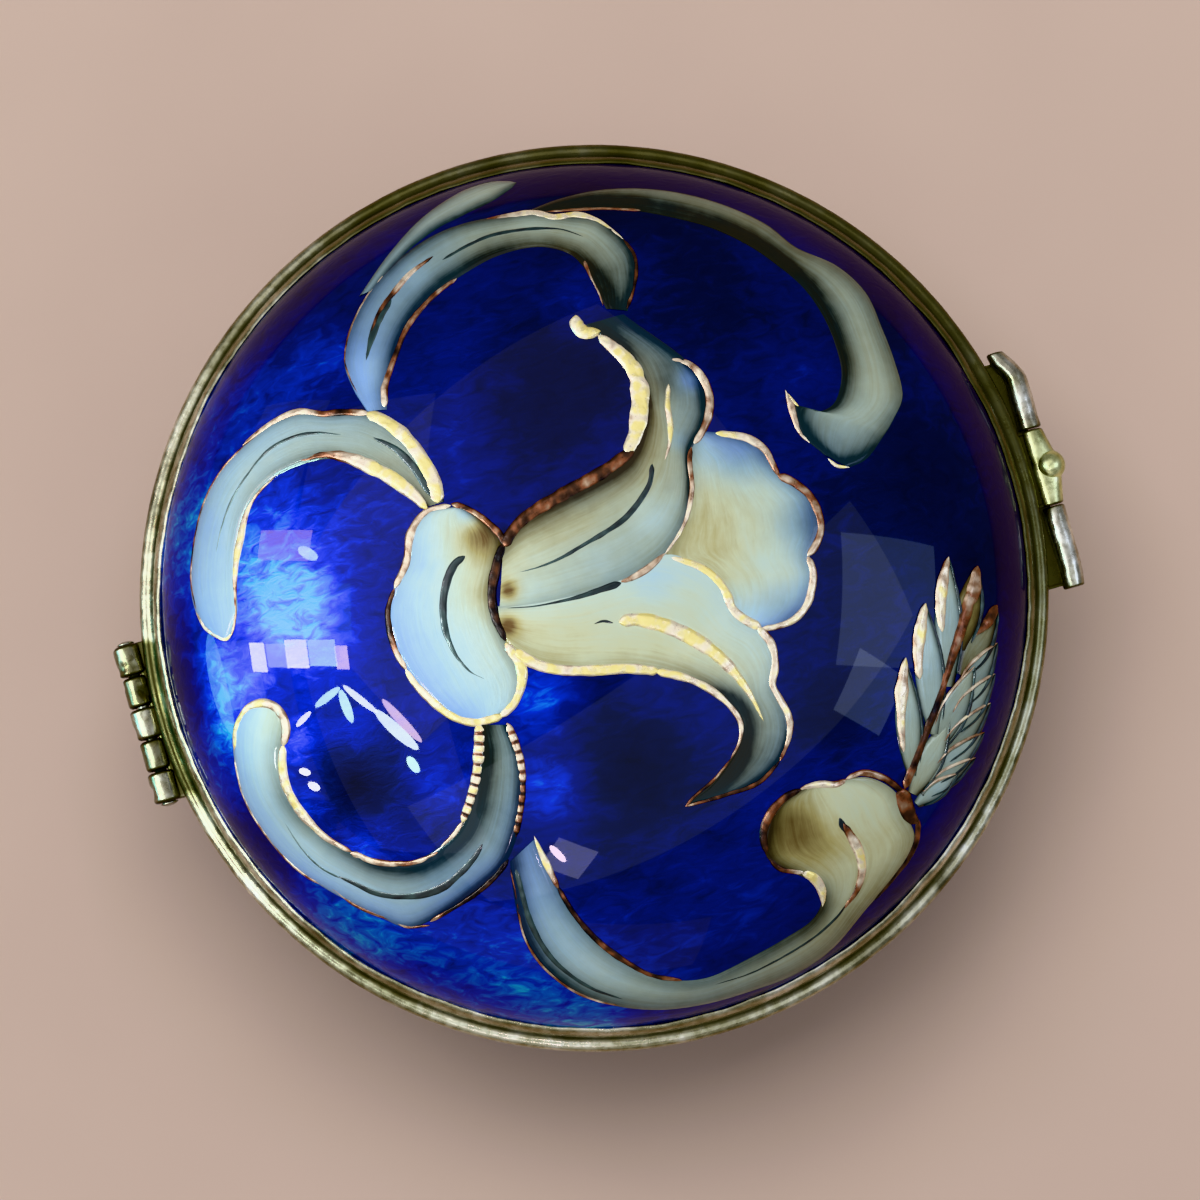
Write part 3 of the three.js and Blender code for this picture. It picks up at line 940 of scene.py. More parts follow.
def catch(yellow, worn):
    for side, name in ((-1, "catch_bar_left"), (1, "catch_bar_right")):
        low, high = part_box(name)
        half = (high.x - low.x) / 2
        centre = Vector(((low.x + high.x) / 2, CATCH_Y, SEAM))
        profile = barrel_profile(half + 0.1 * MM, BAR_RADIUS, BAR_ROUNDING)
        bm = turned_tube(profile, centre, 0.08, 5.0 * side, dark=0.02)
        turn_in, rounded = (0.72 * MM, 0.25) if side > 0 else (0.1 * MM, 0.08)
        for v in bm.verts:
            # The outer end turns in towards the mount and is rounded off.
            outward = (side * (v.co.x - centre.x) + half) / (2 * half)
            narrower = 1 - rounded * smooth((outward - 0.84) / 0.18) ** 2
            v.co.y = centre.y + (v.co.y - centre.y) * narrower + turn_in * smooth((outward - 0.6) / 0.45)
            v.co.z = centre.z + (v.co.z - centre.z) * narrower - 0.1 * MM * smooth((outward - 0.7) / 0.3)
        piece(bm, f"{name}_worn", worn, "base", [name])
    half = (THUMB_HIGH.x - THUMB_LOW.x) / 2
    profile = barrel_profile(half, BAR_RADIUS, BAR_ROUNDING)
    bm = turned_tube(profile, Vector((0, CATCH_Y, SEAM)), 0.03, 1.7, 64, dark=0.01)
    knob_y = THUMB_LOW.y + KNOB_RADIUS
    knob_z = THUMB_HIGH.z - KNOB_RADIUS
    for v in bm.verts:
        # The bar swells into the knob from both ends, like two cones that meet under it.
        swell = (1 - abs(v.co.x) / half) ** 1.2
        outer = smooth((CATCH_Y + 0.2 * MM - v.co.y) / (0.6 * MM))
        v.co.y -= 0.5 * MM * swell * outer
        v.co.z -= 0.1 * MM * swell * outer
    ball = bmesh.ops.create_uvsphere(bm, u_segments=40, v_segments=24, radius=KNOB_RADIUS)["verts"]
    bmesh.ops.translate(bm, verts=ball, vec=(0, knob_y, knob_z))
    for f in bm.faces:
        f.smooth = True
    piece(bm, "thumbpiece_gilt", yellow, "lid", ["thumbpiece"])


# The picture on the lid. All points are millimetres from the lid's centre, as seen from above.


def pane(
    layer, left, right, warm, cross=(0,), dark=((0,), (0,)), reach=(0.8, 0.8), dim=(0,), daubs=(), relief=1.0
):
    """A pane of enamel between two edges.

    warm runs along it, from sky blue to brown, and cross is added across it. dark says how strongly each edge
    is shaded along its length, and reach how far in that goes. dim darkens the whole pane along its length,
    partly the enamel's own darker tone and partly painted shade. daubs are soft spots of warmth and shade.
    """
    steps = 14 * (len(left) - 1)
    a = by_index(left, steps + 1)
    b = by_index(right, steps + 1)
    out = a - b
    out /= np.maximum(np.linalg.norm(out, axis=1), 0.3)[:, None]
    a = a + out * TUCK
    b = b - out * TUCK

    def place(u, v):
        i = round(u * steps)
        v = 0.5 - 0.5 * math.cos(math.pi * v)
        x, y = a[i] * (1 - v) + b[i] * v
        width = float(np.linalg.norm(a[i] - b[i]))
        from_left = v * width
        from_right = (1 - v) * width
        near = min(from_left, from_right)
        lift = -SUNK + (PANE_RELIEF * relief + SUNK) * smooth((near + 0.04) / 0.34)
        tint = along(warm, u) + along(cross, v)
        shade = 0.75 * math.exp(-((near / RIM_LINE) ** 2))
        shade = max(shade, along(dark[0], u) * math.exp(-((from_left / reach[0]) ** 2)))
        shade = max(shade, along(dark[1], u) * math.exp(-((from_right / reach[1]) ** 2)))
        # dim is partly the enamel's own darker tone and partly painted shade.
        shade += along(dim, u)
        for spot_x, spot_y, radius, warmer, darker in daubs:
            near_spot = soft_spot(x, y, spot_x, spot_y, radius)
            tint += warmer * near_spot
            shade += darker * near_spot
        return x, y, lift, {"warm": held(tint), "shade": held(shade)}

    layer.grid(steps, 18, place)


def line(layer, points, widths, tones, beads=0.0, relief=1.0, base=0.0, outlined=0.3):
    """A raised line through points. Its width and tone, dark to bright, run through the given values."""
    fine, length = by_length(points, max(int(14 * (len(points) - 1)), 12) + 1)
    steps = len(fine) - 1
    heading = np.gradient(fine, axis=0)
    heading /= np.linalg.norm(heading, axis=1)[:, None]
    seed = points[0][0] * 1.7 + points[0][1] * 0.9

    def place(u, v):
        i = round(u * steps)
        taper = min(1.0, math.sqrt(max(u * length / 0.35, 0.0)), math.sqrt(max((1 - u) * length / 0.35, 0.0)))
        travel = u * length
        wobble = 1 + 0.22 * noise.noise(Vector((travel * 1.3, seed, 0.3)))
        width = LINE_WIDENING * along(widths, u) * wobble * max(taper, 0.04)
        side = np.array((-heading[i][1], heading[i][0]))
        x, y = fine[i] + side * (v - 0.5) * width
        crown = 1 - (2 * v - 1) ** 4
        hammered = 1 + 0.3 * noise.noise(Vector((travel * 2.4, seed, v * 2)))
        height = base + LINE_RELIEF * relief * min(1.0, 0.4 + width) * crown * hammered
        tone = along(tones, u) + 0.3 * noise.noise(Vector((travel * 1.1, seed, 2.0)))
        tone += 0.22 * noise.noise(Vector((travel * 2.6, seed, v * 1.5)))
        tone -= outlined * smooth((abs(2 * v - 1) - 0.55) / 0.45)
        # Beads: their dips are lower and painted darker, as painted shade.
        if beads:
            tone -= beads * smooth(math.cos(travel * 11) * 2 - 0.4) * crown
            height *= 1 - 0.4 * beads * smooth(math.cos(travel * 11) * 2)
        return x, y, height - SUNK, {"tone": held(tone)}

    layer.grid(steps, 8, place)


BUD_LEFT = [
    (-7.4, 4.95), (-9.3, 4.6), (-10.1, 3.4), (-10.3, 1.8), (-11.0, 0.4), (-11.3, -1.0), (-10.9, -3.0),
    (-9.6, -5.1), (-8.0, -6.5), (-6.6, -6.95),
]
BUD_RIGHT = [
    (-7.3, 4.9), (-6.3, 4.25), (-5.2, 3.2), (-5.3, 1.9), (-5.6, 0.2), (-5.4, -1.3), (-4.8, -2.8),
    (-4.05, -4.4), (-4.4, -5.9), (-5.6, -6.75),
]
TUBE_TOP = [
    (-5.0, 2.9), (-4.3, 3.9), (-3.3, 4.75), (-1.6, 5.7), (0.2, 6.7), (1.8, 7.8), (2.5, 9.3), (2.75, 10.8),
    (2.5, 12.1), (1.7, 13.2), (0.7, 14.2), (-0.5, 15.0),
]
TUBE_BELOW = [
    (-5.2, -0.7), (-3.8, -0.6), (-1.8, -0.3), (0.4, 0.35), (2.2, 1.0), (3.9, 2.3), (5.0, 4.1), (5.3, 6.0),
    (5.3, 7.8), (6.25, 10.0), (5.4, 12.7), (1.6, 15.6),
]
FRONT_UPPER = [
    (-5.3, -0.6), (-2.8, -0.25), (-0.5, 0.25), (1.4, 1.0), (2.9, 1.9), (4.2, 2.35), (5.3, 1.98), (6.7, 1.1),
    (7.4, 0.0), (8.0, -1.1), (9.3, -1.95), (9.95, -3.4), (9.85, -4.9), (10.5, -6.2), (10.7, -7.6),
    (10.1, -9.2), (8.3, -10.6), (5.2, -11.5),
]
FRONT_LOWER = [
    (-5.1, -2.0), (-4.8, -2.6), (-4.2, -3.2), (-3.0, -3.8), (-1.8, -4.05), (-0.5, -4.05), (0.8, -4.0),
    (2.2, -4.0), (3.6, -4.15), (4.9, -4.45), (6.1, -5.0), (7.1, -5.7), (7.8, -6.5), (8.05, -7.4), (7.8, -8.4),
    (7.2, -9.4), (6.3, -10.5), (5.1, -11.4),
]
BACK_INNER = [
    (5.3, 8.9), (5.0, 7.6), (4.9, 6.6), (4.8, 5.4), (4.6, 4.3), (4.2, 3.2), (3.9, 2.0), (5.2, 1.6),
    (6.3, 0.8), (6.9, 0.0), (7.3, -1.0), (8.3, -1.5),
]
BACK_OUTER = [
    (6.2, 9.1), (7.5, 8.95), (9.1, 8.4), (9.95, 7.1), (10.9, 6.3), (12.0, 5.4), (12.5, 3.9), (11.9, 2.3),
    (12.1, 1.1), (11.7, -0.5), (10.5, -1.55), (9.3, -1.8),
]

LEAF_A_OUTER = [
    (-8.3, 5.2), (-8.9, 6.9), (-9.8, 8.2), (-11.2, 9.4), (-12.8, 10.1), (-14.5, 10.0), (-16.2, 10.1),
    (-17.8, 9.5), (-19.3, 8.3), (-20.7, 6.8), (-21.6, 4.9), (-22.1, 2.6), (-22.2, 0.4), (-21.7, -1.4),
    (-20.8, -2.3),
]
LEAF_A_INNER = [
    (-9.5, 4.8), (-10.2, 5.5), (-11.1, 6.2), (-12.2, 6.8), (-13.3, 7.3), (-14.6, 7.6), (-15.8, 7.4),
    (-16.9, 7.0), (-17.9, 6.4), (-18.8, 5.4), (-19.4, 4.0), (-19.7, 2.2), (-19.75, 0.6), (-19.7, -1.0),
    (-20.1, -2.3),
]
LEAF_B_OUTER = [
    (-12.5, 10.2), (-13.3, 11.5), (-13.8, 13.0), (-13.5, 14.8), (-12.6, 16.6), (-11.3, 18.2), (-9.4, 19.7),
    (-7.4, 20.6), (-5.0, 21.1), (-3.2, 21.25), (-1.4, 21.1), (0.2, 20.9), (1.4, 20.0), (2.2, 19.0),
    (2.35, 17.9), (2.2, 16.9), (1.8, 15.8),
]
LEAF_B_INNER = [
    (-11.5, 10.3), (-11.45, 11.5), (-11.1, 12.9), (-10.5, 14.4), (-9.7, 15.7), (-8.6, 16.9), (-7.2, 17.9),
    (-5.7, 18.75), (-4.2, 19.25), (-3.0, 19.4), (-2.0, 19.25), (-1.2, 18.9), (-0.6, 18.3), (-0.2, 17.7),
    (0.1, 17.1), (0.4, 16.5), (0.7, 15.9),
]
SPRIG_OUTER = [(-13.0, 16.6), (-11.4, 18.9), (-9.6, 20.9), (-7.6, 22.3), (-5.9, 22.95), (-4.3, 23.0)]
SPRIG_INNER = [(-12.3, 16.9), (-10.6, 18.9), (-8.9, 20.3), (-7.2, 21.2), (-5.6, 22.0), (-4.3, 22.9)]
LEAF_C_OUTER = [
    (-3.8, 21.3), (-2.0, 22.0), (0.2, 22.5), (2.6, 22.6), (5.0, 22.3), (7.4, 21.6), (9.5, 20.6), (11.2, 19.3),
    (13.4, 18.3), (15.0, 16.8), (15.9, 14.8), (16.6, 12.9), (17.0, 11.1), (16.5, 9.8), (15.9, 8.8),
    (15.0, 7.6), (14.0, 7.1),
]
LEAF_C_INNER = [
    (-3.3, 21.2), (-1.5, 21.4), (0.3, 21.5), (2.4, 21.4), (4.5, 21.0), (6.5, 20.45), (8.5, 19.5),
    (10.1, 18.4), (11.6, 17.1), (12.7, 15.5), (13.4, 13.8), (13.7, 12.2), (13.3, 10.7), (12.3, 10.2),
    (11.1, 10.5), (11.3, 9.1), (12.7, 7.8),
]
LEAF_D_OUTER = [
    (-4.7, -7.1), (-4.0, -8.8), (-3.85, -10.6), (-4.1, -12.6), (-4.9, -14.7), (-6.4, -16.1), (-8.3, -17.4),
    (-10.1, -18.2), (-11.8, -17.6), (-13.4, -16.8), (-15.0, -15.9), (-16.8, -14.6), (-18.3, -12.8),
    (-19.3, -11.0), (-19.75, -9.0), (-19.8, -7.2), (-19.1, -6.1), (-18.4, -5.9),
]
LEAF_D_INNER = [
    (-6.4, -7.1), (-6.35, -8.6), (-6.6, -10.2), (-6.9, -11.6), (-7.4, -12.8), (-8.4, -13.8), (-9.6, -14.5),
    (-10.9, -14.7), (-12.3, -14.5), (-13.6, -13.9), (-14.8, -13.2), (-15.8, -12.2), (-16.6, -11.1),
    (-17.1, -10.0), (-17.3, -8.8), (-17.1, -7.6), (-17.1, -6.6), (-17.7, -6.0),
]
LEAF_E_OUTER = [
    (-4.6, -14.6), (-4.4, -16.3), (-4.0, -18.2), (-3.0, -20.1), (-1.4, -21.5), (0.8, -22.4), (3.4, -22.7),
    (6.0, -22.4), (8.5, -21.7), (10.9, -20.8), (13.0, -19.4), (14.9, -17.2), (16.6, -15.2), (17.55, -13.4),
    (17.0, -11.9), (16.4, -10.7), (14.9, -10.0), (13.0, -10.3),
]
LEAF_E_INNER = [
    (-3.3, -13.4), (-2.6, -14.9), (-1.8, -16.5), (-0.8, -18.0), (0.6, -19.4), (2.2, -20.4), (4.2, -21.1),
    (6.2, -21.0), (8.4, -20.0), (10.4, -18.9), (11.9, -17.9), (12.5, -16.8), (12.1, -15.8), (10.9, -15.2),
    (9.6, -14.5), (9.3, -13.2), (9.8, -11.8), (11.3, -10.7),
]

# Scales of the plume: foot, tip, width, warmth, darkness
PLUME = [
    ((20.2, -4.4), (22.2, -0.9), 1.35, 0.66, 0.4),
    ((20.2, -3.0), (21.06, 1.65), 1.4, 0.9, 0.3),
    ((19.9, -6.2), (22.15, -2.6), 1.4, 0.4, 0.3),
    ((19.5, -7.6), (22.0, -4.3), 1.35, 0.42, 0.18),
    ((18.9, -9.2), (21.75, -5.9), 1.3, 0.5, 0.34),
    ((18.4, -10.3), (21.4, -7.5), 1.2, 0.4, 0.12),
    ((18.0, -11.0), (20.9, -8.9), 0.95, 0.44, 0.26),
    ((17.7, -11.5), (19.95, -9.75), 0.9, 0.34, 0.0),
    ((18.7, -8.6), (20.9, -3.9), 1.5, 0.46, 0.2),
    ((17.5, -10.9), (19.5, -6.9), 1.35, 0.5, 0.06),
    ((19.5, -5.0), (19.49, 2.14), 1.4, 0.42, 0.12),
    ((18.7, -7.6), (18.2, -0.42), 1.5, 0.38, 0.08),
    ((17.5, -9.9), (17.07, -3.52), 1.35, 0.45, 0.1),
]
STEM = [(17.0, -10.6), (17.9, -8.3), (18.9, -5.7), (19.7, -3.2), (20.4, -1.0), (20.9, 1.0)]


def scale_edge(scale, spots, turn):
    """Points beside a scale's middle line, from (share of its length, share of its half width)."""
    foot, tip, width = np.array(scale[0]), np.array(scale[1]), scale[2]
    side = np.array((foot[1] - tip[1], tip[0] - foot[0])) / np.linalg.norm(tip - foot) * width / 2
    return [tuple(foot + (tip - foot) * s + turn * side * w) for s, w in spots]


def enamel_panes(material):
    layer = Layer(on_dome, "warm", "shade")
    pane(
        layer, LEAF_B_OUTER, LEAF_B_INNER, warm=(0.0, 0.04, 0.24, 0.5, 0.56, 0.54, 0.54, 0.54),
        cross=(-0.06, 0.1), dark=((0.35, 0.4, 0.5, 0.6, 0.5, 0.5), (0.75, 0.7, 0.6, 0.6, 0.6)),
        reach=(0.6, 0.9), dim=(0.0, 0.4, 0.5, 0.42, 0.34, 0.7, 0.84),
        daubs=[
            (-9.8, 17.9, 0.8, -0.1, -0.15), (-3.4, 20.4, 1.4, -0.04, -0.16), (-12.6, 12.4, 1.3, 0.0, -0.22),
        ],
    )
    pane(
        layer, SPRIG_OUTER, SPRIG_INNER, warm=(0.3, 0.45, 0.55), dark=((0.5,), (0.6,)), reach=(0.4, 0.4),
        dim=(0.4, 0.4, 0.35),
    )
    pane(
        layer, LEAF_C_OUTER, LEAF_C_INNER, warm=(0.56, 0.62, 0.66, 0.64, 0.58, 0.54, 0.46, 0.34),
        dark=((0.3, 0.3, 0.5, 0.4), (0.7, 0.8, 0.8, 0.7)), reach=(0.9, 1.1),
        dim=(0.6, 0.54, 0.46, 0.46, 0.36, 0.24, 0.34, 0.95),
    )
    pane(
        layer, LEAF_A_OUTER, LEAF_A_INNER, warm=(0.6, 0.56, 0.46, 0.36, 0.26, 0.2, 0.14), cross=(-0.14, 0.1),
        dark=((0.3, 0.3, 0.2, 0.2), (0.8, 0.7, 0.6, 0.4, 0.25)), reach=(0.5, 0.6),
        dim=(0.56, 0.48, 0.3, 0.08, 0.02, 0),
    )
    pane(
        layer, LEAF_D_OUTER, LEAF_D_INNER, warm=(0.56, 0.42, 0.24, 0.26, 0.28, 0.32, 0.38, 0.46),
        cross=(-0.3, 0, 0.15),
        dark=((0.6, 0.7, 0.7, 0.3, 0.1, 0.05, 0.1), (0.7, 0.7, 0.9, 0.95, 0.9, 0.85, 0.6, 0.3)),
        reach=(0.55, 1.05), dim=(0.6, 0.66, 0.44, 0.08, 0.0, 0, 0.02),
        daubs=[(-15.5, -14.0, 1.5, -0.04, -0.24), (-18.3, -9.5, 1.8, -0.04, -0.16)],
    )
    pane(
        layer, LEAF_E_OUTER, LEAF_E_INNER, warm=(0.0, 0.12, 0.36, 0.44, 0.5, 0.64, 0.7, 0.72, 0.7, 0.68),
        dark=(
            (0.6, 0.8, 0.85, 0.6, 0.5, 0.5, 0.4, 0.4, 0.5, 0.6),
            (0.2, 0.4, 0.5, 0.5, 0.6, 0.7, 0.8, 0.9, 0.7),
        ),
        reach=(1.0, 0.8), dim=(0.46, 0.28, 0.14, 0.2, 0.28, 0.28, 0.08, 0.06, 0.14),
        daubs=[
            (10.3, -12.5, 1.8, 0.2, 0.45), (12.5, -13.5, 1.5, 0.15, 0.15), (14.5, -12.0, 2.0, -0.05, -0.3),
        ],
    )
    pane(
        layer, BACK_INNER, BACK_OUTER, warm=(0.2, 0.4, 0.6, 0.66, 0.66, 0.62, 0.3, 0.1),
        cross=(0.12, 0.08, 0.02, -0.06, -0.16, -0.5), dark=((0.5, 0.6, 0.6, 0.5, 0.4, 0.3), (0.5,)),
        reach=(0.9, 0.8), dim=(0.18, 0.06, 0.03, 0.05),
        daubs=[
            (7.6, 8.1, 1.6, -0.25, 0.1), (7.0, 2.9, 1.3, 0.04, 0.0), (11.6, 4.0, 1.5, -0.2, 0.46),
            (10.4, -0.6, 1.5, 0.0, 0.28), (8.0, 7.6, 1.5, -0.06, 0.18),
        ],
        relief=0.5,
    )
    pane(
        layer, TUBE_TOP, TUBE_BELOW, warm=(0.6, 0.6, 0.58, 0.56, 0.6, 0.62, 0.54, 0.46, 0.36),
        cross=(0.18, 0.12, -0.06, -0.14),
        dark=(
            (0.9, 0.9, 0.9, 0.95, 0.9, 0.9, 0.9, 0.8, 0.8),
            (0.1, 0.15, 0.2, 0.25, 0.3, 0.5, 0.7, 0.6, 0.5, 0.6),
        ),
        reach=(1.15, 0.75), dim=(0.06, 0.14, 0.28, 0.36, 0.4, 0.42, 0.5, 0.56, 0.78, 0.86),
        daubs=[
            (5.3, 12.0, 0.7, -0.5, -0.3), (3.9, 11.6, 0.9, 0.02, 0.2), (4.7, 8.6, 0.6, -0.2, -0.05),
            (-4.7, 0.3, 0.6, 0.5, 0.1), (3.2, 4.4, 1.3, -0.15, -0.2),
        ],
    )
    pane(
        layer, FRONT_UPPER, FRONT_LOWER, warm=(0.66, 0.64, 0.62, 0.6, 0.6, 0.6, 0.56, 0.5, 0.45),
        cross=(-0.2, 0, 0.12),
        dark=(
            (0.3, 0.15, 0.1, 0.1, 0.15, 0.2, 0.3, 0.5, 0.7),
            (0.35, 0.3, 0.3, 0.3, 0.4, 0.6, 0.9, 0.95, 0.9, 0.8),
        ),
        reach=(0.5, 0.95), dim=(0, 0, 0, 0, 0, 0.14, 0.5, 0.78, 0.8),
        daubs=[(3.2, 0.6, 1.2, -0.22, -0.05), (-4.7, -1.6, 0.6, 0.35, 0.03), (7.2, -6.2, 1.3, -0.2, 0.4)],
        relief=0.8,
    )
    pane(
        layer, BUD_LEFT, BUD_RIGHT, warm=(0.45, 0.42, 0.38, 0.28, 0.2, 0.08), cross=(-0.24, 0.05, 0.3),
        dark=((0.5, 0.4, 0.4, 0.5, 0.4, 0.3), (0.85, 0.85, 0.7, 0.6, 0.5, 0.4, 0.2)), reach=(0.5, 0.65),
        dim=(0.03, 0.05, 0.03),
        daubs=[(-6.3, 3.2, 1.5, 0.36, 0.22), (-7.0, 4.6, 0.7, -0.5, 0), (-5.9, 0.0, 1.2, 0.15, 0.08)],
    )
    for index, scale in enumerate(PLUME):
        warm, dark = scale[3:]
        spots = [(0.0, 0.35), (0.25, 0.85), (0.5, 1.0), (0.75, 0.65), (1.0, 0.02)]
        pane(
            layer, scale_edge(scale, spots, 1), scale_edge(scale, spots, -1),
            warm=(min(warm + 0.16, 0.95), warm, min(warm + 0.1, 0.95)), dark=((0.3,), (0.85,)),
            reach=(0.2, 0.32), dim=(dark + 0.35, dark + 0.2, dark + 0.08), relief=0.9 + 0.08 * index,
        )
    layer.finish("lid_enamel", material, "lid", "cobalt_glaze")


def gilt_lines(material):
    layer = Layer(on_dome, "tone")

    def gold(points, widths, tones, **more):
        line(layer, points, widths, tones, **more)

    # Bud
    gold(
        [(-7.9, 5.0), (-9.3, 4.6), (-10.1, 3.4), (-10.35, 1.8), (-11.0, 0.4)], (0.3, 0.5, 0.4),
        (0.7, 0.6, 0.6),
    )
    gold([(-11.0, 0.4), (-11.35, -1.0), (-11.0, -2.8), (-10.3, -4.1)], (0.3, 0.4, 0.4), (0.25, 0.12, 0.85))
    gold(
        [(-10.4, -4.0), (-9.6, -5.1), (-8.0, -6.5), (-6.6, -6.95), (-5.0, -6.6)], (0.35, 0.5, 0.5, 0.5),
        (0.9, 1, 1),
    )
    gold(
        [(-5.2, -6.7), (-4.4, -5.9), (-4.0, -4.8), (-4.1, -3.8), (-4.9, -2.6)], (0.45, 0.5, 0.6, 0.5),
        (1, 1, 1, 0.9),
    )
    gold(
        [(-4.95, 2.9), (-5.35, 1.9), (-5.65, 0.2), (-5.45, -1.2), (-4.85, -2.5)], (0.5, 0.6, 0.55, 0.4),
        (0.05, 0.08),
    )
    gold(
        [(-7.9, 5.1), (-6.9, 4.75), (-6.0, 4.15), (-5.2, 3.35), (-4.9, 2.7)], (0.35, 0.4, 0.4),
        (0.15, 0.5, 0.3, 0.12),
    )
    # Flower
    gold(
        [(-5.0, 2.7), (-4.3, 3.8), (-3.3, 4.65), (-1.6, 5.65), (0.2, 6.65), (1.3, 7.4), (2.2, 8.1)],
        (0.65, 0.8, 0.7), (0.2, 0.27, 0.2), outlined=0.16,
    )
    gold(
        [(1.75, 7.8), (2.3, 8.9), (2.55, 10.3), (2.55, 11.5), (2.2, 12.6), (1.4, 13.5), (0.2, 14.45)],
        (0.6, 1.05, 1.0, 0.75, 0.45),
        (0.9, 1, 1, 0.8),
    )
    gold(
        [(-1.0, 15.55), (-0.95, 15.0), (-0.5, 14.6), (0.35, 14.65)], (0.6, 0.85, 0.5), (1, 1, 1), relief=1.4,
        outlined=0.1,
    )
    gold(
        [(4.2, 13.1), (5.2, 12.85), (5.95, 12.1), (6.35, 11.1), (6.3, 10.0), (5.9, 9.0), (5.5, 8.4)],
        (0.35, 0.5, 0.45), (0.6, 0.75, 0.5, 0.6),
    )
    gold(
        [(5.35, 8.3), (5.25, 7.4), (5.4, 6.2), (5.3, 5.2), (5.05, 4.2), (4.6, 3.3), (3.9, 2.3)],
        (0.35, 0.3, 0.18), (0.5, 0.6, 0.75),
    )
    gold([(3.9, 2.35), (3.0, 1.55), (2.1, 1.0), (1.4, 0.75)], (0.4, 0.45, 0.3), (0.65, 0.55, 0.4))
    gold(
        [
            (4.1, 2.15), (5.0, 1.9), (6.0, 1.5), (6.8, 0.85), (7.3, 0.1), (7.6, -0.7), (8.2, -1.25),
            (9.2, -1.8),
        ],
        (0.35, 0.5, 0.55), (1, 1, 0.9, 0.85),
    )
    gold(
        [
            (9.0, -1.7), (9.75, -2.7), (9.95, -3.8), (9.8, -4.9), (10.2, -5.7), (10.7, -6.7), (10.7, -7.8),
            (10.2, -9.1),
        ],
        (0.45, 0.45, 0.4, 0.25), (0.85, 0.7, 0.75, 0.45),
    )
    gold([(10.2, -9.1), (9.0, -10.3), (7.2, -10.95), (5.0, -11.6)], (0.25, 0.3, 0.15), (0.3, 0.2, 0.4))
    gold(
        [(-4.4, -3.0), (-3.2, -3.75), (-1.8, -4.08), (0.0, -4.1), (1.8, -4.0), (3.6, -4.15)],
        (0.6, 0.65, 0.6, 0.5), (1, 1, 1),
    )
    gold(
        [(3.4, -4.15), (5.0, -4.5), (6.3, -5.1), (7.4, -6.0), (8.05, -7.0), (8.0, -8.0), (7.5, -9.0)],
        (0.5, 0.45, 0.3, 0.12), (1, 0.85, 0.7, 0.5),
    )
    gold([(7.5, -9.0), (6.6, -10.1), (5.6, -10.95), (5.0, -11.6)], (0.12, 0.2, 0.15), (0.35, 0.4))
    gold(
        [
            (1.35, -1.45), (2.2, -1.32), (3.2, -1.45), (4.4, -1.85), (5.6, -2.45), (6.8, -3.3), (7.8, -4.35),
            (8.6, -5.5), (9.3, -6.9),
        ],
        (0.55, 0.8, 0.74, 0.46, 0.08), (1, 1, 1, 1), base=PANE_RELIEF, outlined=0.15,
    )
    gold(
        [(4.1, 11.7), (4.05, 10.5), (4.2, 9.4), (4.15, 8.4), (3.9, 7.5)], (0.25, 0.32, 0.3, 0.1),
        (0.95, 0.95, 0.7), base=PANE_RELIEF,
    )
    gold(
        [(6.7, 9.0), (7.6, 8.9), (8.5, 8.7), (9.4, 8.1), (9.9, 7.2), (10.2, 6.6)], (0.35, 0.45, 0.3),
        (0.9, 0.8, 0.5),
    )
    gold(
        [(10.1, 6.7), (11.1, 6.2), (11.9, 5.5), (12.35, 4.6), (12.5, 3.7), (12.2, 2.8), (11.75, 2.2)],
        (0.5, 0.45, 0.4), (0.45, 0.5, 0.6),
    )
    gold(
        [(11.75, 2.2), (12.05, 1.4), (12.0, 0.5), (11.7, -0.5), (11.0, -1.3), (10.0, -1.7), (9.2, -1.8)],
        (0.4, 0.45, 0.35), (0.65, 0.85, 0.7),
    )
    # Leaf over the bud, to the left
    gold(
        [(-8.6, 5.1), (-8.9, 6.3), (-9.5, 7.5), (-10.4, 8.7), (-11.5, 9.6), (-12.6, 10.1)],
        (0.75, 0.85, 0.8, 0.6), (0.95, 1, 1),
    )
    gold(
        [
            (-12.4, 10.1), (-14.0, 10.15), (-15.0, 10.05), (-16.2, 10.2), (-17.4, 9.8), (-18.6, 9.0),
            (-19.4, 8.3),
        ],
        (0.4, 0.4, 0.35, 0.2), (0.7, 0.15, 0.8, 0.6, 0.4),
    )
    gold(
        [(-19.3, 8.35), (-20.6, 6.9), (-21.5, 5.2), (-22.0, 3.2), (-22.2, 1.0), (-21.9, -0.8)], (0.12, 0.12),
        (0.35, 0.3),
    )
    gold(
        [(-21.9, -0.9), (-21.4, -1.75), (-20.8, -2.2), (-20.3, -2.4), (-19.95, -2.1)], (0.2, 0.25, 0.2),
        (0.7, 0.9),
    )
    gold(
        [
            (-9.2, 4.8), (-10.0, 5.65), (-11.1, 6.5), (-12.3, 7.15), (-13.4, 7.6), (-14.4, 7.8),
            (-15.3, 7.75), (-16.3, 7.4),
        ],
        (0.5, 0.8, 0.85, 0.5, 0.2), (0.95, 1, 1, 0.4, 0.2),
    )
    gold(
        [
            (-17.6, 6.6), (-18.6, 5.6), (-19.2, 4.5), (-19.5, 3.2), (-19.75, 1.8), (-19.8, 0.4),
            (-19.75, -1.0), (-19.95, -2.2),
        ],
        (0.1, 0.15, 0.4, 0.35, 0.15, 0.15), (0.4, 0.6, 1, 0.9, 0.4, 0.6),
    )
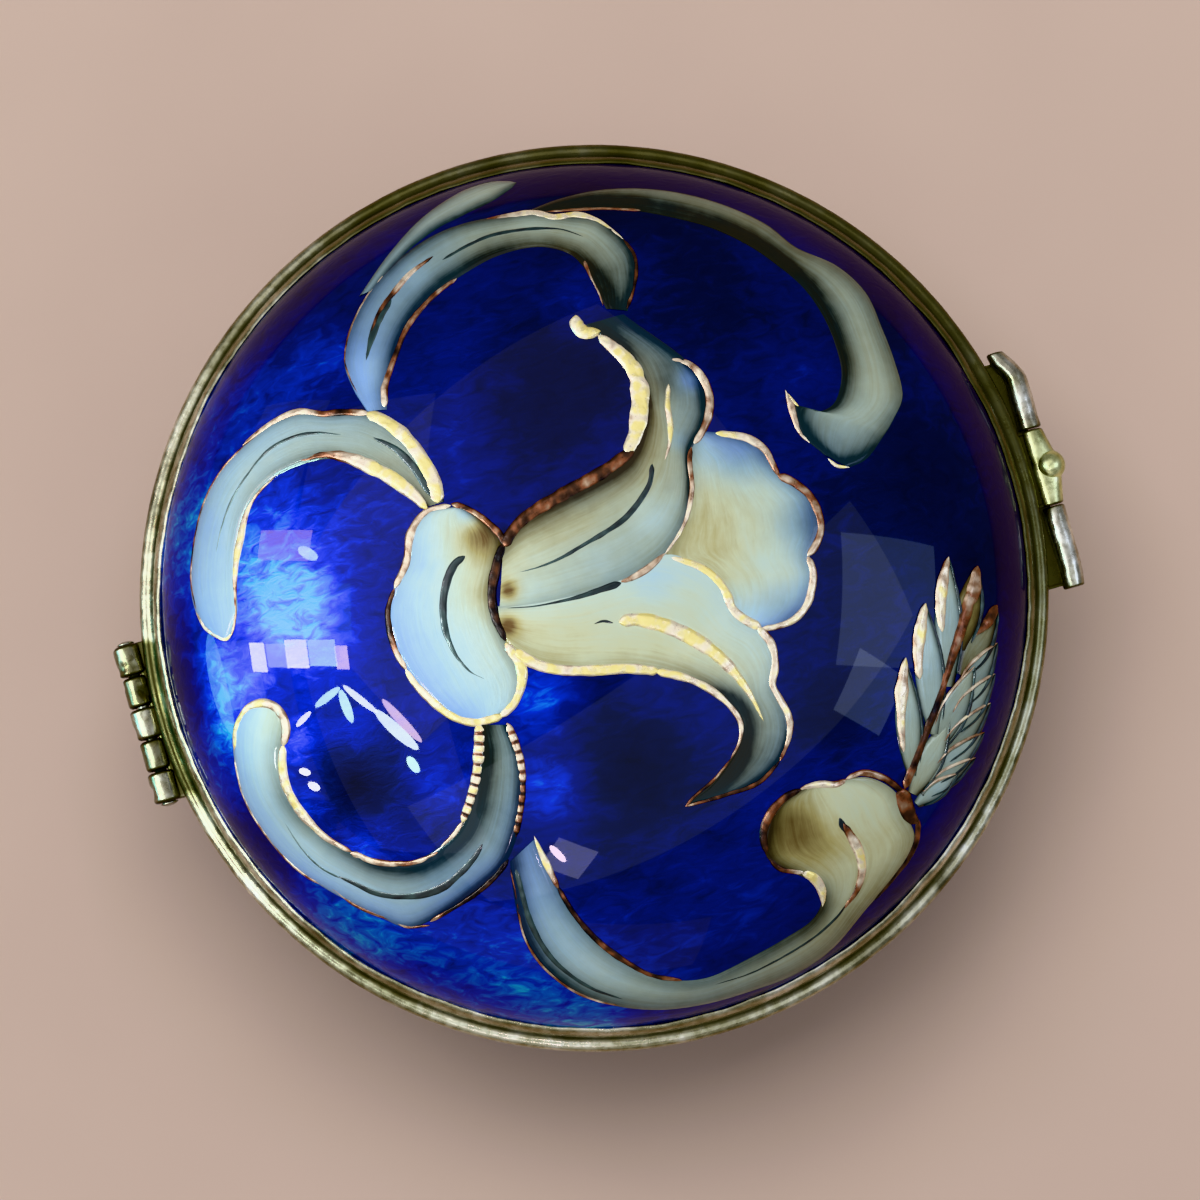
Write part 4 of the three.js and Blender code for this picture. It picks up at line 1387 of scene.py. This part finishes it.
    # Upper leaf
    gold(
        [
            (-11.6, 10.4), (-11.6, 11.5), (-11.3, 12.5), (-10.9, 13.6), (-10.4, 14.8), (-9.6, 15.9),
            (-8.6, 16.9), (-7.6, 17.6),
        ],
        (0.45, 0.35, 0.3, 0.2), (0.7, 0.45, 0.3, 0.3, 0.5),
    )
    gold(
        [(-12.3, 14.6), (-11.8, 15.8), (-10.9, 17.0), (-10.1, 17.9), (-8.9, 18.8)], (0.15, 0.3, 0.3, 0.12),
        (0.15, 0.25, 0.7, 0.3), base=PANE_RELIEF,
    )
    gold(
        [
            (-12.4, 10.4), (-13.25, 11.6), (-13.75, 12.9), (-13.65, 14.1), (-13.2, 15.4), (-12.5, 16.7),
            (-11.5, 18.0),
        ],
        (0.12, 0.15, 0.12), (0.4, 0.25, 0.5, 0.6),
    )
    gold(
        [
            (-6.0, 20.9), (-4.6, 21.1), (-3.3, 21.25), (-2.2, 21.0), (-1.0, 21.15), (0.0, 20.9), (0.9, 20.35),
            (1.6, 19.8),
        ],
        (0.2, 0.35, 0.4, 0.3, 0.1), (0.5, 0.75, 0.9, 0.85),
    )
    gold([(1.6, 19.8), (2.2, 18.9), (2.32, 17.9), (2.1, 16.8), (1.8, 15.9)], (0.2, 0.25, 0.2), (0.1, 0.1))
    gold([(-0.6, 18.7), (-0.2, 17.7), (0.25, 16.8), (0.5, 16.1)], (0.3, 0.12, 0.1), (0.5, 0.5, 0.3))
    # Leaf along the rim, upper right
    gold([(-3.4, 21.3), (-1.5, 21.42), (0.6, 21.5), (2.6, 21.4)], (0.12, 0.15, 0.12), (0.4, 0.35))
    gold(
        [(10.55, 11.4), (10.85, 10.6), (11.05, 9.9), (11.35, 9.1), (11.9, 8.45)], (0.1, 0.4, 0.3, 0.12),
        (0.7, 0.7, 0.85),
    )
    gold([(10.7, 11.2), (11.0, 10.8), (11.35, 10.4)], (0.1, 0.15), (1, 1))
    gold([(12.9, 7.6), (13.4, 7.2), (14.1, 7.1)], (0.15, 0.22, 0.15), (0.9, 1))
    # Leaf below the bud, to the left
    gold(
        [(-6.3, -7.0), (-6.3, -8.4), (-6.4, -9.6), (-6.6, -10.6), (-6.9, -11.6), (-7.25, -12.5)],
        (0.55, 0.65, 0.55, 0.4), (1, 0.95, 0.9), beads=0.8,
    )
    gold([(-7.2, -12.4), (-7.7, -13.15), (-8.4, -13.8)], (0.3, 0.2), (0.6, 0.7))
    gold(
        [(-8.3, -13.95), (-9.6, -14.6), (-10.8, -14.75), (-12.2, -14.6), (-13.4, -14.1)], (0.2, 0.35, 0.35),
        (0.35, 0.6, 0.3, 0.75, 0.5),
    )
    gold(
        [
            (-13.3, -14.1), (-14.6, -13.4), (-15.6, -12.5), (-16.4, -11.5), (-16.95, -10.4), (-17.15, -9.2),
            (-17.1, -8.2),
        ],
        (0.3, 0.4, 0.5, 0.4), (0.5, 0.85, 1, 0.95),
    )
    gold(
        [
            (-19.75, -8.6), (-19.65, -7.3), (-19.2, -6.35), (-18.5, -5.95), (-17.7, -6.05), (-17.1, -6.7),
            (-16.95, -7.5), (-17.1, -8.3),
        ],
        (0.2, 0.35, 0.5, 0.5, 0.4), (0.7, 1, 0.95, 0.75, 0.8),
    )
    gold(
        [(-19.75, -9.0), (-19.3, -10.9), (-18.4, -12.6), (-17.0, -14.35), (-15.8, -15.4), (-15.0, -15.85)],
        (0.12, 0.15), (0.6, 0.5),
    )
    gold(
        [
            (-15.0, -15.85), (-14.2, -16.15), (-13.2, -16.95), (-12.0, -17.5), (-11.0, -17.8), (-10.2, -18.2),
            (-9.0, -18.1),
        ],
        (0.14, 0.18, 0.15), (0.5, 0.35, 0.4),
    )
    gold(
        [(-9.0, -17.9), (-7.6, -17.1), (-6.4, -16.3), (-5.4, -15.4), (-4.7, -14.5)], (0.2, 0.3, 0.35),
        (0.2, 0.1, 0.15),
    )
    gold(
        [(-4.8, -7.0), (-4.25, -8.4), (-3.98, -9.6), (-3.95, -10.8), (-4.1, -12.0), (-4.35, -13.3)],
        (0.5, 0.4, 0.35), (1, 0.6, 0.35, 0.5), beads=0.5,
    )
    # Long leaf along the bottom, and its round end
    gold(
        [
            (-4.6, -15.0), (-4.3, -16.3), (-4.1, -17.6), (-3.8, -18.8), (-3.1, -20.0), (-2.1, -21.0),
            (-0.9, -21.8), (0.5, -22.3), (1.9, -22.5),
        ],
        (0.12, 0.18, 0.12), (0.3, 0.45, 0.4),
    )
    gold([(-3.3, -13.2), (-2.9, -14.2), (-2.4, -15.2), (-1.95, -16.1)], (0.12, 0.45, 0.3), (0.9, 0.95, 0.5))
    gold(
        [
            (-2.0, -16.0), (-1.3, -17.2), (-0.4, -18.35), (0.6, -19.3), (1.9, -20.2), (3.2, -20.85),
            (4.8, -21.1),
        ],
        (0.3, 0.35, 0.2), (0.15, 0.2, 0.25),
    )
    gold(
        [(9.45, -14.2), (9.3, -13.0), (9.75, -11.9), (10.5, -11.1), (11.4, -10.65)], (0.35, 0.5, 0.35),
        (0.15, 0.2, 0.15),
    )
    gold([(11.3, -10.65), (12.3, -10.4), (13.2, -10.4), (14.0, -10.1)], (0.3, 0.45, 0.25), (0.6, 0.78, 0.6))
    gold(
        [(13.8, -10.1), (14.7, -9.75), (15.7, -9.95), (16.4, -10.35), (17.0, -10.9)], (0.25, 0.4, 0.35),
        (0.5, 0.45, 0.3),
    )
    gold([(9.6, -14.4), (10.2, -15.0), (11.0, -15.15), (11.6, -15.2)], (0.3, 0.3, 0.3), (0.15, 0.3, 0.6))
    gold(
        [(11.3, -15.15), (12.0, -15.45), (12.4, -15.95), (12.55, -16.6), (12.5, -17.1)],
        (0.35, 0.6, 0.5, 0.12), (0.95, 1, 0.7),
    )
    gold([(16.9, -10.6), (17.0, -11.3), (17.3, -12.1), (17.9, -12.5)], (0.9, 1.0, 0.8, 0.3), (0.3, 0.25, 0.2))
    gold(
        [(17.8, -12.3), (17.7, -13.4), (17.2, -14.5), (16.5, -15.4), (15.4, -16.7)], (0.35, 0.25, 0.15),
        (0.18, 0.12),
    )
    gold(
        [
            (13.65, -12.5), (14.0, -13.1), (14.35, -13.7), (14.6, -14.4), (14.65, -15.2), (14.35, -16.2),
            (13.7, -17.1),
        ],
        (0.3, 0.6, 0.5, 0.3, 0.15), (0.2, 0.95, 0.85, 0.45, 0.3), base=PANE_RELIEF,
    )
    # Bright tips and brown stem of the plume
    high = PANE_RELIEF * 1.6
    gold(
        [(19.1, -2.0), (19.05, -0.5), (19.2, 0.9), (19.47, 2.15)], (0.3, 0.55, 0.6, 0.2), (0.75, 0.82, 0.7),
        base=high,
    )
    gold(
        [(17.85, -4.6), (17.8, -3.2), (17.95, -1.8), (18.2, -0.4)], (0.3, 0.5, 0.7, 0.2), (0.8, 0.86, 0.88),
        base=high,
    )
    gold(
        [(16.95, -8.6), (16.85, -6.9), (16.9, -5.2), (17.1, -3.4)], (0.2, 0.45, 0.65, 0.2), (0.7, 0.85, 0.85),
        base=high,
    )
    gold(
        STEM, (0.4, 0.35, 0.4, 0.35, 0.5, 0.6, 0.3), (0.22, 0.2, 0.25, 0.3, 0.36, 0.42), base=high,
        outlined=0.1,
    )
    gold(
        [(20.9, -2.2), (21.6, -1.5), (22.1, -0.5)], (0.12, 0.5, 0.35), (0.33, 0.33), base=high, outlined=0.05,
    )
    gold([(20.7, -0.6), (20.9, 0.5), (21.05, 1.65)], (0.3, 0.75, 0.3), (0.33, 0.34), base=high, outlined=0.05)
    for scale in PLUME[2:9]:
        edge = scale_edge(scale, [(0.25, 0.9), (0.5, 1.0), (0.78, 0.6), (1.0, 0.05)], 1)
        gold(edge, (0.06, 0.17, 0.1), (0.5, 0.66, 0.55), base=PANE_RELIEF * 1.4, outlined=0.1)
    layer.finish("lid_gilding", material, "lid", "gilt_mount")


def painted_veins(material):
    layer = Layer(on_dome, "tone")

    def vein(points, widths, tones=(0.1,), relief=0.5):
        line(layer, points, widths, tones, relief=relief, base=PANE_RELIEF, outlined=0.0)

    vein(
        [
            (-7.1, 2.2), (-7.7, 1.7), (-8.1, 0.8), (-8.3, -0.4), (-8.2, -1.8), (-7.7, -3.1), (-6.9, -4.1),
            (-6.0, -4.6),
        ],
        (0.4, 0.5, 0.45, 0.2, 0.04), (0.05, 0.1, 0.35, 0.8),
    )
    vein(
        [
            (3.2, 7.3), (3.05, 6.2), (2.4, 5.1), (1.6, 4.2), (0.6, 3.5), (-0.6, 2.8), (-1.8, 2.1),
            (-3.0, 1.6), (-4.1, 1.3),
        ],
        (0.3, 0.38, 0.3, 0.2, 0.05), (0.1, 0.1, 0.2, 0.6),
    )
    vein(
        [(1.5, 0.72), (0.4, 0.35), (-0.8, -0.05), (-2.3, -0.4), (-3.5, -0.6), (-4.8, -0.68)],
        (0.4, 0.25, 0.1, 0.04), (0.0, 0.1, 0.3),
    )
    vein([(0.0, -1.55), (0.5, -1.4), (1.05, -1.5)], (0.12, 0.16), (0.05,))
    vein(
        [(-12.2, 8.75), (-11.0, 8.15), (-10.2, 7.4), (-9.6, 6.6), (-9.0, 5.5)], (0.15, 0.4, 0.5, 0.3),
        (0.3, 0.15),
    )
    vein(
        [(-13.9, 8.9), (-15.4, 9.0), (-16.8, 8.7), (-18.0, 8.0), (-19.0, 6.9)], (0.06, 0.22, 0.2, 0.1),
        (0.4, 0.2, 0.5),
    )
    vein(
        [(-18.4, 7.6), (-19.3, 6.4), (-20.0, 5.2), (-20.5, 3.8), (-20.8, 2.4)], (0.12, 0.14, 0.05),
        (0.6, 0.9),
    )
    vein(
        [(-8.4, 18.6), (-7.2, 19.3), (-5.9, 19.9), (-4.6, 20.2), (-3.2, 20.35), (-1.8, 20.3), (-0.6, 19.9)],
        (0.15, 0.22, 0.2, 0.06), (0.2, 0.1, 0.2),
    )
    vein([(-12.6, 13.0), (-12.3, 14.2), (-11.9, 15.3), (-11.2, 16.4)], (0.1, 0.35, 0.45, 0.3), (0.2, 0.1))
    vein([(-17.0, -12.4), (-16.0, -13.9), (-15.0, -14.9), (-13.9, -15.5)], (0.05, 0.1, 0.16), (0.8, 0.5))
    vein(
        [
            (-14.0, -15.4), (-13.0, -15.85), (-12.0, -16.3), (-10.8, -16.5), (-9.4, -16.4), (-8.2, -15.95),
            (-7.2, -15.1), (-6.5, -14.3), (-6.1, -13.6),
        ],
        (0.15, 0.3, 0.35, 0.45, 0.4, 0.2), (0.1, 0.05),
    )
    vein(
        [
            (-4.3, -15.0), (-3.95, -16.3), (-3.6, -17.6), (-3.05, -18.8), (-2.2, -20.0), (-1.0, -21.0),
            (0.2, -21.65), (1.6, -22.1),
        ],
        (0.3, 0.35, 0.25, 0.1), (0.15, 0.25, 0.2),
    )
    vein(
        [(13.9, -16.8), (13.2, -17.7), (12.0, -18.75), (10.4, -19.75), (8.5, -20.7), (6.6, -21.3)],
        (0.15, 0.14, 0.06), (0.1, 0.2),
    )
    vein([(13.45, -12.2), (13.6, -12.6), (13.75, -13.0)], (0.35, 0.4), (0.05,))
    for scale in PLUME:
        spots = [(0.1, 0.6), (0.35, 0.98), (0.6, 0.9), (0.85, 0.4), (1.0, 0.0)]
        vein(scale_edge(scale, spots, -1), (0.1, 0.18, 0.08), (0.1,), 1.2)
    layer.finish("lid_veins", material, "lid", "cobalt_glaze")


# Floor, lights and camera


def lamp_at(name, shape, size, radiance, colour, matrix):
    """An area lamp, hidden from the camera, with a brightness that doesn't depend on its size."""
    lamp = bpy.data.lights.new(name, "AREA")
    lamp.shape = shape
    lamp.size, lamp.size_y = size
    lamp.energy = radiance * math.pi * lamp.size * lamp.size_y
    lamp.color = colour
    thing = placed(name, lamp, matrix)
    thing.visible_camera = False
    return thing


def studio(floor_material):
    bm = bmesh.new()
    bmesh.ops.create_grid(bm, x_segments=1, y_segments=1, size=FLOOR_HALF)
    mesh = bpy.data.meshes.new("floor")
    bm.to_mesh(mesh)
    bm.free()
    mesh.materials.append(floor_material)
    placed("floor", mesh)

    world = bpy.data.worlds.new("studio")
    bpy.context.scene.world = world
    world.use_nodes = True
    world.node_tree.nodes["Background"].inputs[0].default_value = ROOM_COLOUR
    world.node_tree.nodes["Background"].inputs[1].default_value = ROOM_STRENGTH
    bpy.context.scene.view_settings.view_transform = "Khronos PBR Neutral"


def soft_light(name, toward, elevation, spread, radiance, colour, mirrored=True):
    """A soft rectangular light, seen from the box at a direction in the picture and an elevation, in degrees.

    spread is how wide and how tall it looks from there, in degrees too. A mirrored light only shows in what
    is glossy, and the others only light what is dull.
    """
    turn_to = math.radians(toward)
    height = math.radians(elevation)
    flat = picture_to_box(math.cos(turn_to), math.sin(turn_to)).normalized()
    centre = Vector((0, 0, LID_EDGE))
    spot = centre + LIGHT_DISTANCE * (flat * math.cos(height) + Vector((0, 0, math.sin(height))))
    size = [2 * LIGHT_DISTANCE * math.tan(math.radians(s) / 2) for s in spread]
    aim = (centre - spot).to_track_quat("-Z", "Y").to_matrix().to_4x4()
    thing = lamp_at(name, "RECTANGLE", size, radiance, colour, Matrix.Translation(spot) @ aim)
    thing.visible_glossy = mirrored
    thing.visible_diffuse = not mirrored


def window_seen_at(name, place, size, radiance, colour, turn=0.0, shape="RECTANGLE"):
    """A light that the lid mirrors at a place in the picture, with its size there, in millimetres.

    It shows in what is glossy, and throws no light on the rest.
    """

    def mirrored(across, up):
        turned = math.radians(turn)
        x = place[0] + across * math.cos(turned) - up * math.sin(turned)
        y = place[1] + across * math.sin(turned) + up * math.cos(turned)
        spot = on_dome(x, y)
        normal = (on_dome(x, y, 1.0) - spot).normalized()
        sight = (spot - EYE).normalized()
        return spot + LIGHT_DISTANCE * (sight - 2 * sight.dot(normal) * normal)

    centre = mirrored(0, 0)
    side = mirrored(size[0] / 2, 0) - mirrored(-size[0] / 2, 0)
    rise = mirrored(0, size[1] / 2) - mirrored(0, -size[1] / 2)
    back = (centre - on_dome(*place)).normalized()
    side_axis = (side - back * side.dot(back)).normalized()
    rise_axis = back.cross(side_axis)
    size = (abs(side.dot(side_axis)), abs(rise.dot(rise_axis)))
    axes = Matrix((side_axis, rise_axis, back)).transposed().to_4x4()
    thing = lamp_at(name, shape, size, radiance, colour, Matrix.Translation(centre) @ axes)
    thing.visible_diffuse = False


def lights():
    soft_light("key", 112, 68, (44, 34), 4.0, (0.98, 0.96, 1.0), mirrored=False)
    soft_light("wall_upper_left", 132, 70, (60, 34), 0.8, (0.98, 0.96, 1.0))
    soft_light("lavender_wall", 186, 57, (66, 24), 0.9, (0.80, 0.82, 1.0))
    soft_light("sky_left", 178, 30, (60, 24), 0.7, (0.88, 0.94, 1.0))
    soft_light("room_below", 255, 28, (60, 22), 0.5, (1.0, 0.94, 0.86))
    soft_light("ceiling_right", 305, 68, (80, 26), 1.0, (0.84, 0.90, 1.0))
    # The window: a bar of panes over a blue sky, and glints round it
    white, sky, mint, pink = (1.0, 1.0, 1.0), (0.20, 0.62, 1.0), (0.62, 1.0, 0.92), (1.0, 0.74, 0.92)
    window_seen_at("bar_outer", (-18.5, -3.4), (0.8, 1.6), 75, white)
    window_seen_at("bar_dim", (-17.5, -3.3), (1.1, 1.3), 22, (0.66, 0.78, 1.0))
    window_seen_at("bar_bright", (-16.4, -3.2), (1.2, 1.55), 85, white)
    window_seen_at("bar_mint", (-15.0, -3.15), (1.5, 1.45), 36, mint)
    window_seen_at("bar_end", (-13.9, -3.4), (0.7, 1.3), 32, pink)
    window_seen_at("sky_pane", (-16.2, -0.9), (4.8, 3.1), 1.5, sky)
    window_seen_at("mauve_pane", (-17.2, 2.8), (2.8, 1.7), 9, (1.0, 0.66, 0.72))
    window_seen_at("mauve_tip", (-15.8, 2.35), (1.2, 0.6), 40, mint, -25, shape="ELLIPSE")
    window_seen_at("rim_sky", (-20.7, -4.9), (0.9, 5.8), 7, (0.28, 0.82, 1.0), 8, shape="ELLIPSE")
    window_seen_at("rim_haze", (-19.6, -4.4), (2.2, 3.8), 3, (0.50, 0.66, 1.0), 6)
    window_seen_at("glint_left", (-14.7, -5.6), (1.7, 0.42), 42, mint, 38, shape="ELLIPSE")
    window_seen_at("glint_top", (-13.65, -6.1), (0.5, 1.9), 45, mint, 14, shape="ELLIPSE")
    window_seen_at("streak_narrow", (-12.9, -5.7), (2.4, 0.35), 55, (0.9, 1.0, 1.0), -38, shape="ELLIPSE")
    window_seen_at("streak_wide", (-10.9, -7.4), (3.2, 0.62), 50, (0.82, 0.98, 1.0), -42, shape="ELLIPSE")
    window_seen_at("streak_rose", (-10.6, -6.9), (3.2, 0.5), 22, pink, -47, shape="ELLIPSE")
    window_seen_at("spark_right", (-9.95, -9.3), (0.5, 1.0), 60, mint, 20, shape="ELLIPSE")
    window_seen_at("spark_lower", (-15.4, -10.5), (0.6, 0.5), 60, white, shape="ELLIPSE")
    window_seen_at("spark_left", (-15.9, -9.7), (0.6, 0.4), 60, white, shape="ELLIPSE")
    window_seen_at("spark_upper", (-16.0, -6.8), (1.1, 0.3), 60, white, 45, shape="ELLIPSE")
    window_seen_at("far_window", (16.6, -0.4), (5.0, 7.2), 2.5, (0.56, 0.68, 1.0), -6)
    window_seen_at("far_sill", (15.3, -5.4), (2.9, 3.6), 3.2, (0.56, 0.68, 1.0), -32)
    window_seen_at("glint_below", (-1.4, -14.5), (2.3, 1.8), 5, (0.66, 0.66, 1.0), -20)
    window_seen_at("glint_core", (-2.0, -14.2), (0.4, 1.1), 60, pink, 20, shape="ELLIPSE")


def camera():
    data = bpy.data.cameras.new("camera")
    data.sensor_width = SENSOR_WIDTH
    data.lens = SENSOR_WIDTH * EYE_DISTANCE / FRAME_WIDTH
    data.clip_start = 0.01
    back = (EYE - AIM).normalized()
    right = PICTURE_UP.cross(back).normalized()
    up = back.cross(right)
    turn = Matrix((right, up, back)).transposed().to_4x4()
    bpy.context.scene.camera = placed("camera", data, Matrix.Translation(EYE) @ turn)


cobalt = cobalt_finish()
opal = opal_finish()
gilding = gilding_finish()
veins = vein_finish()
gilt = gilt_finish()
worn = worn_finish()
yellow = thumb_finish()
pale = inside_finish()

lid_shell(cobalt, pale)
bowl_shell(cobalt, pale, pale)
bowl_leaves(opal, gilding)
mounts(gilt)
hinge(worn)
catch(yellow, worn)
enamel_panes(opal)
gilt_lines(gilding)
painted_veins(veins)
studio(floor_finish())
lights()
camera()
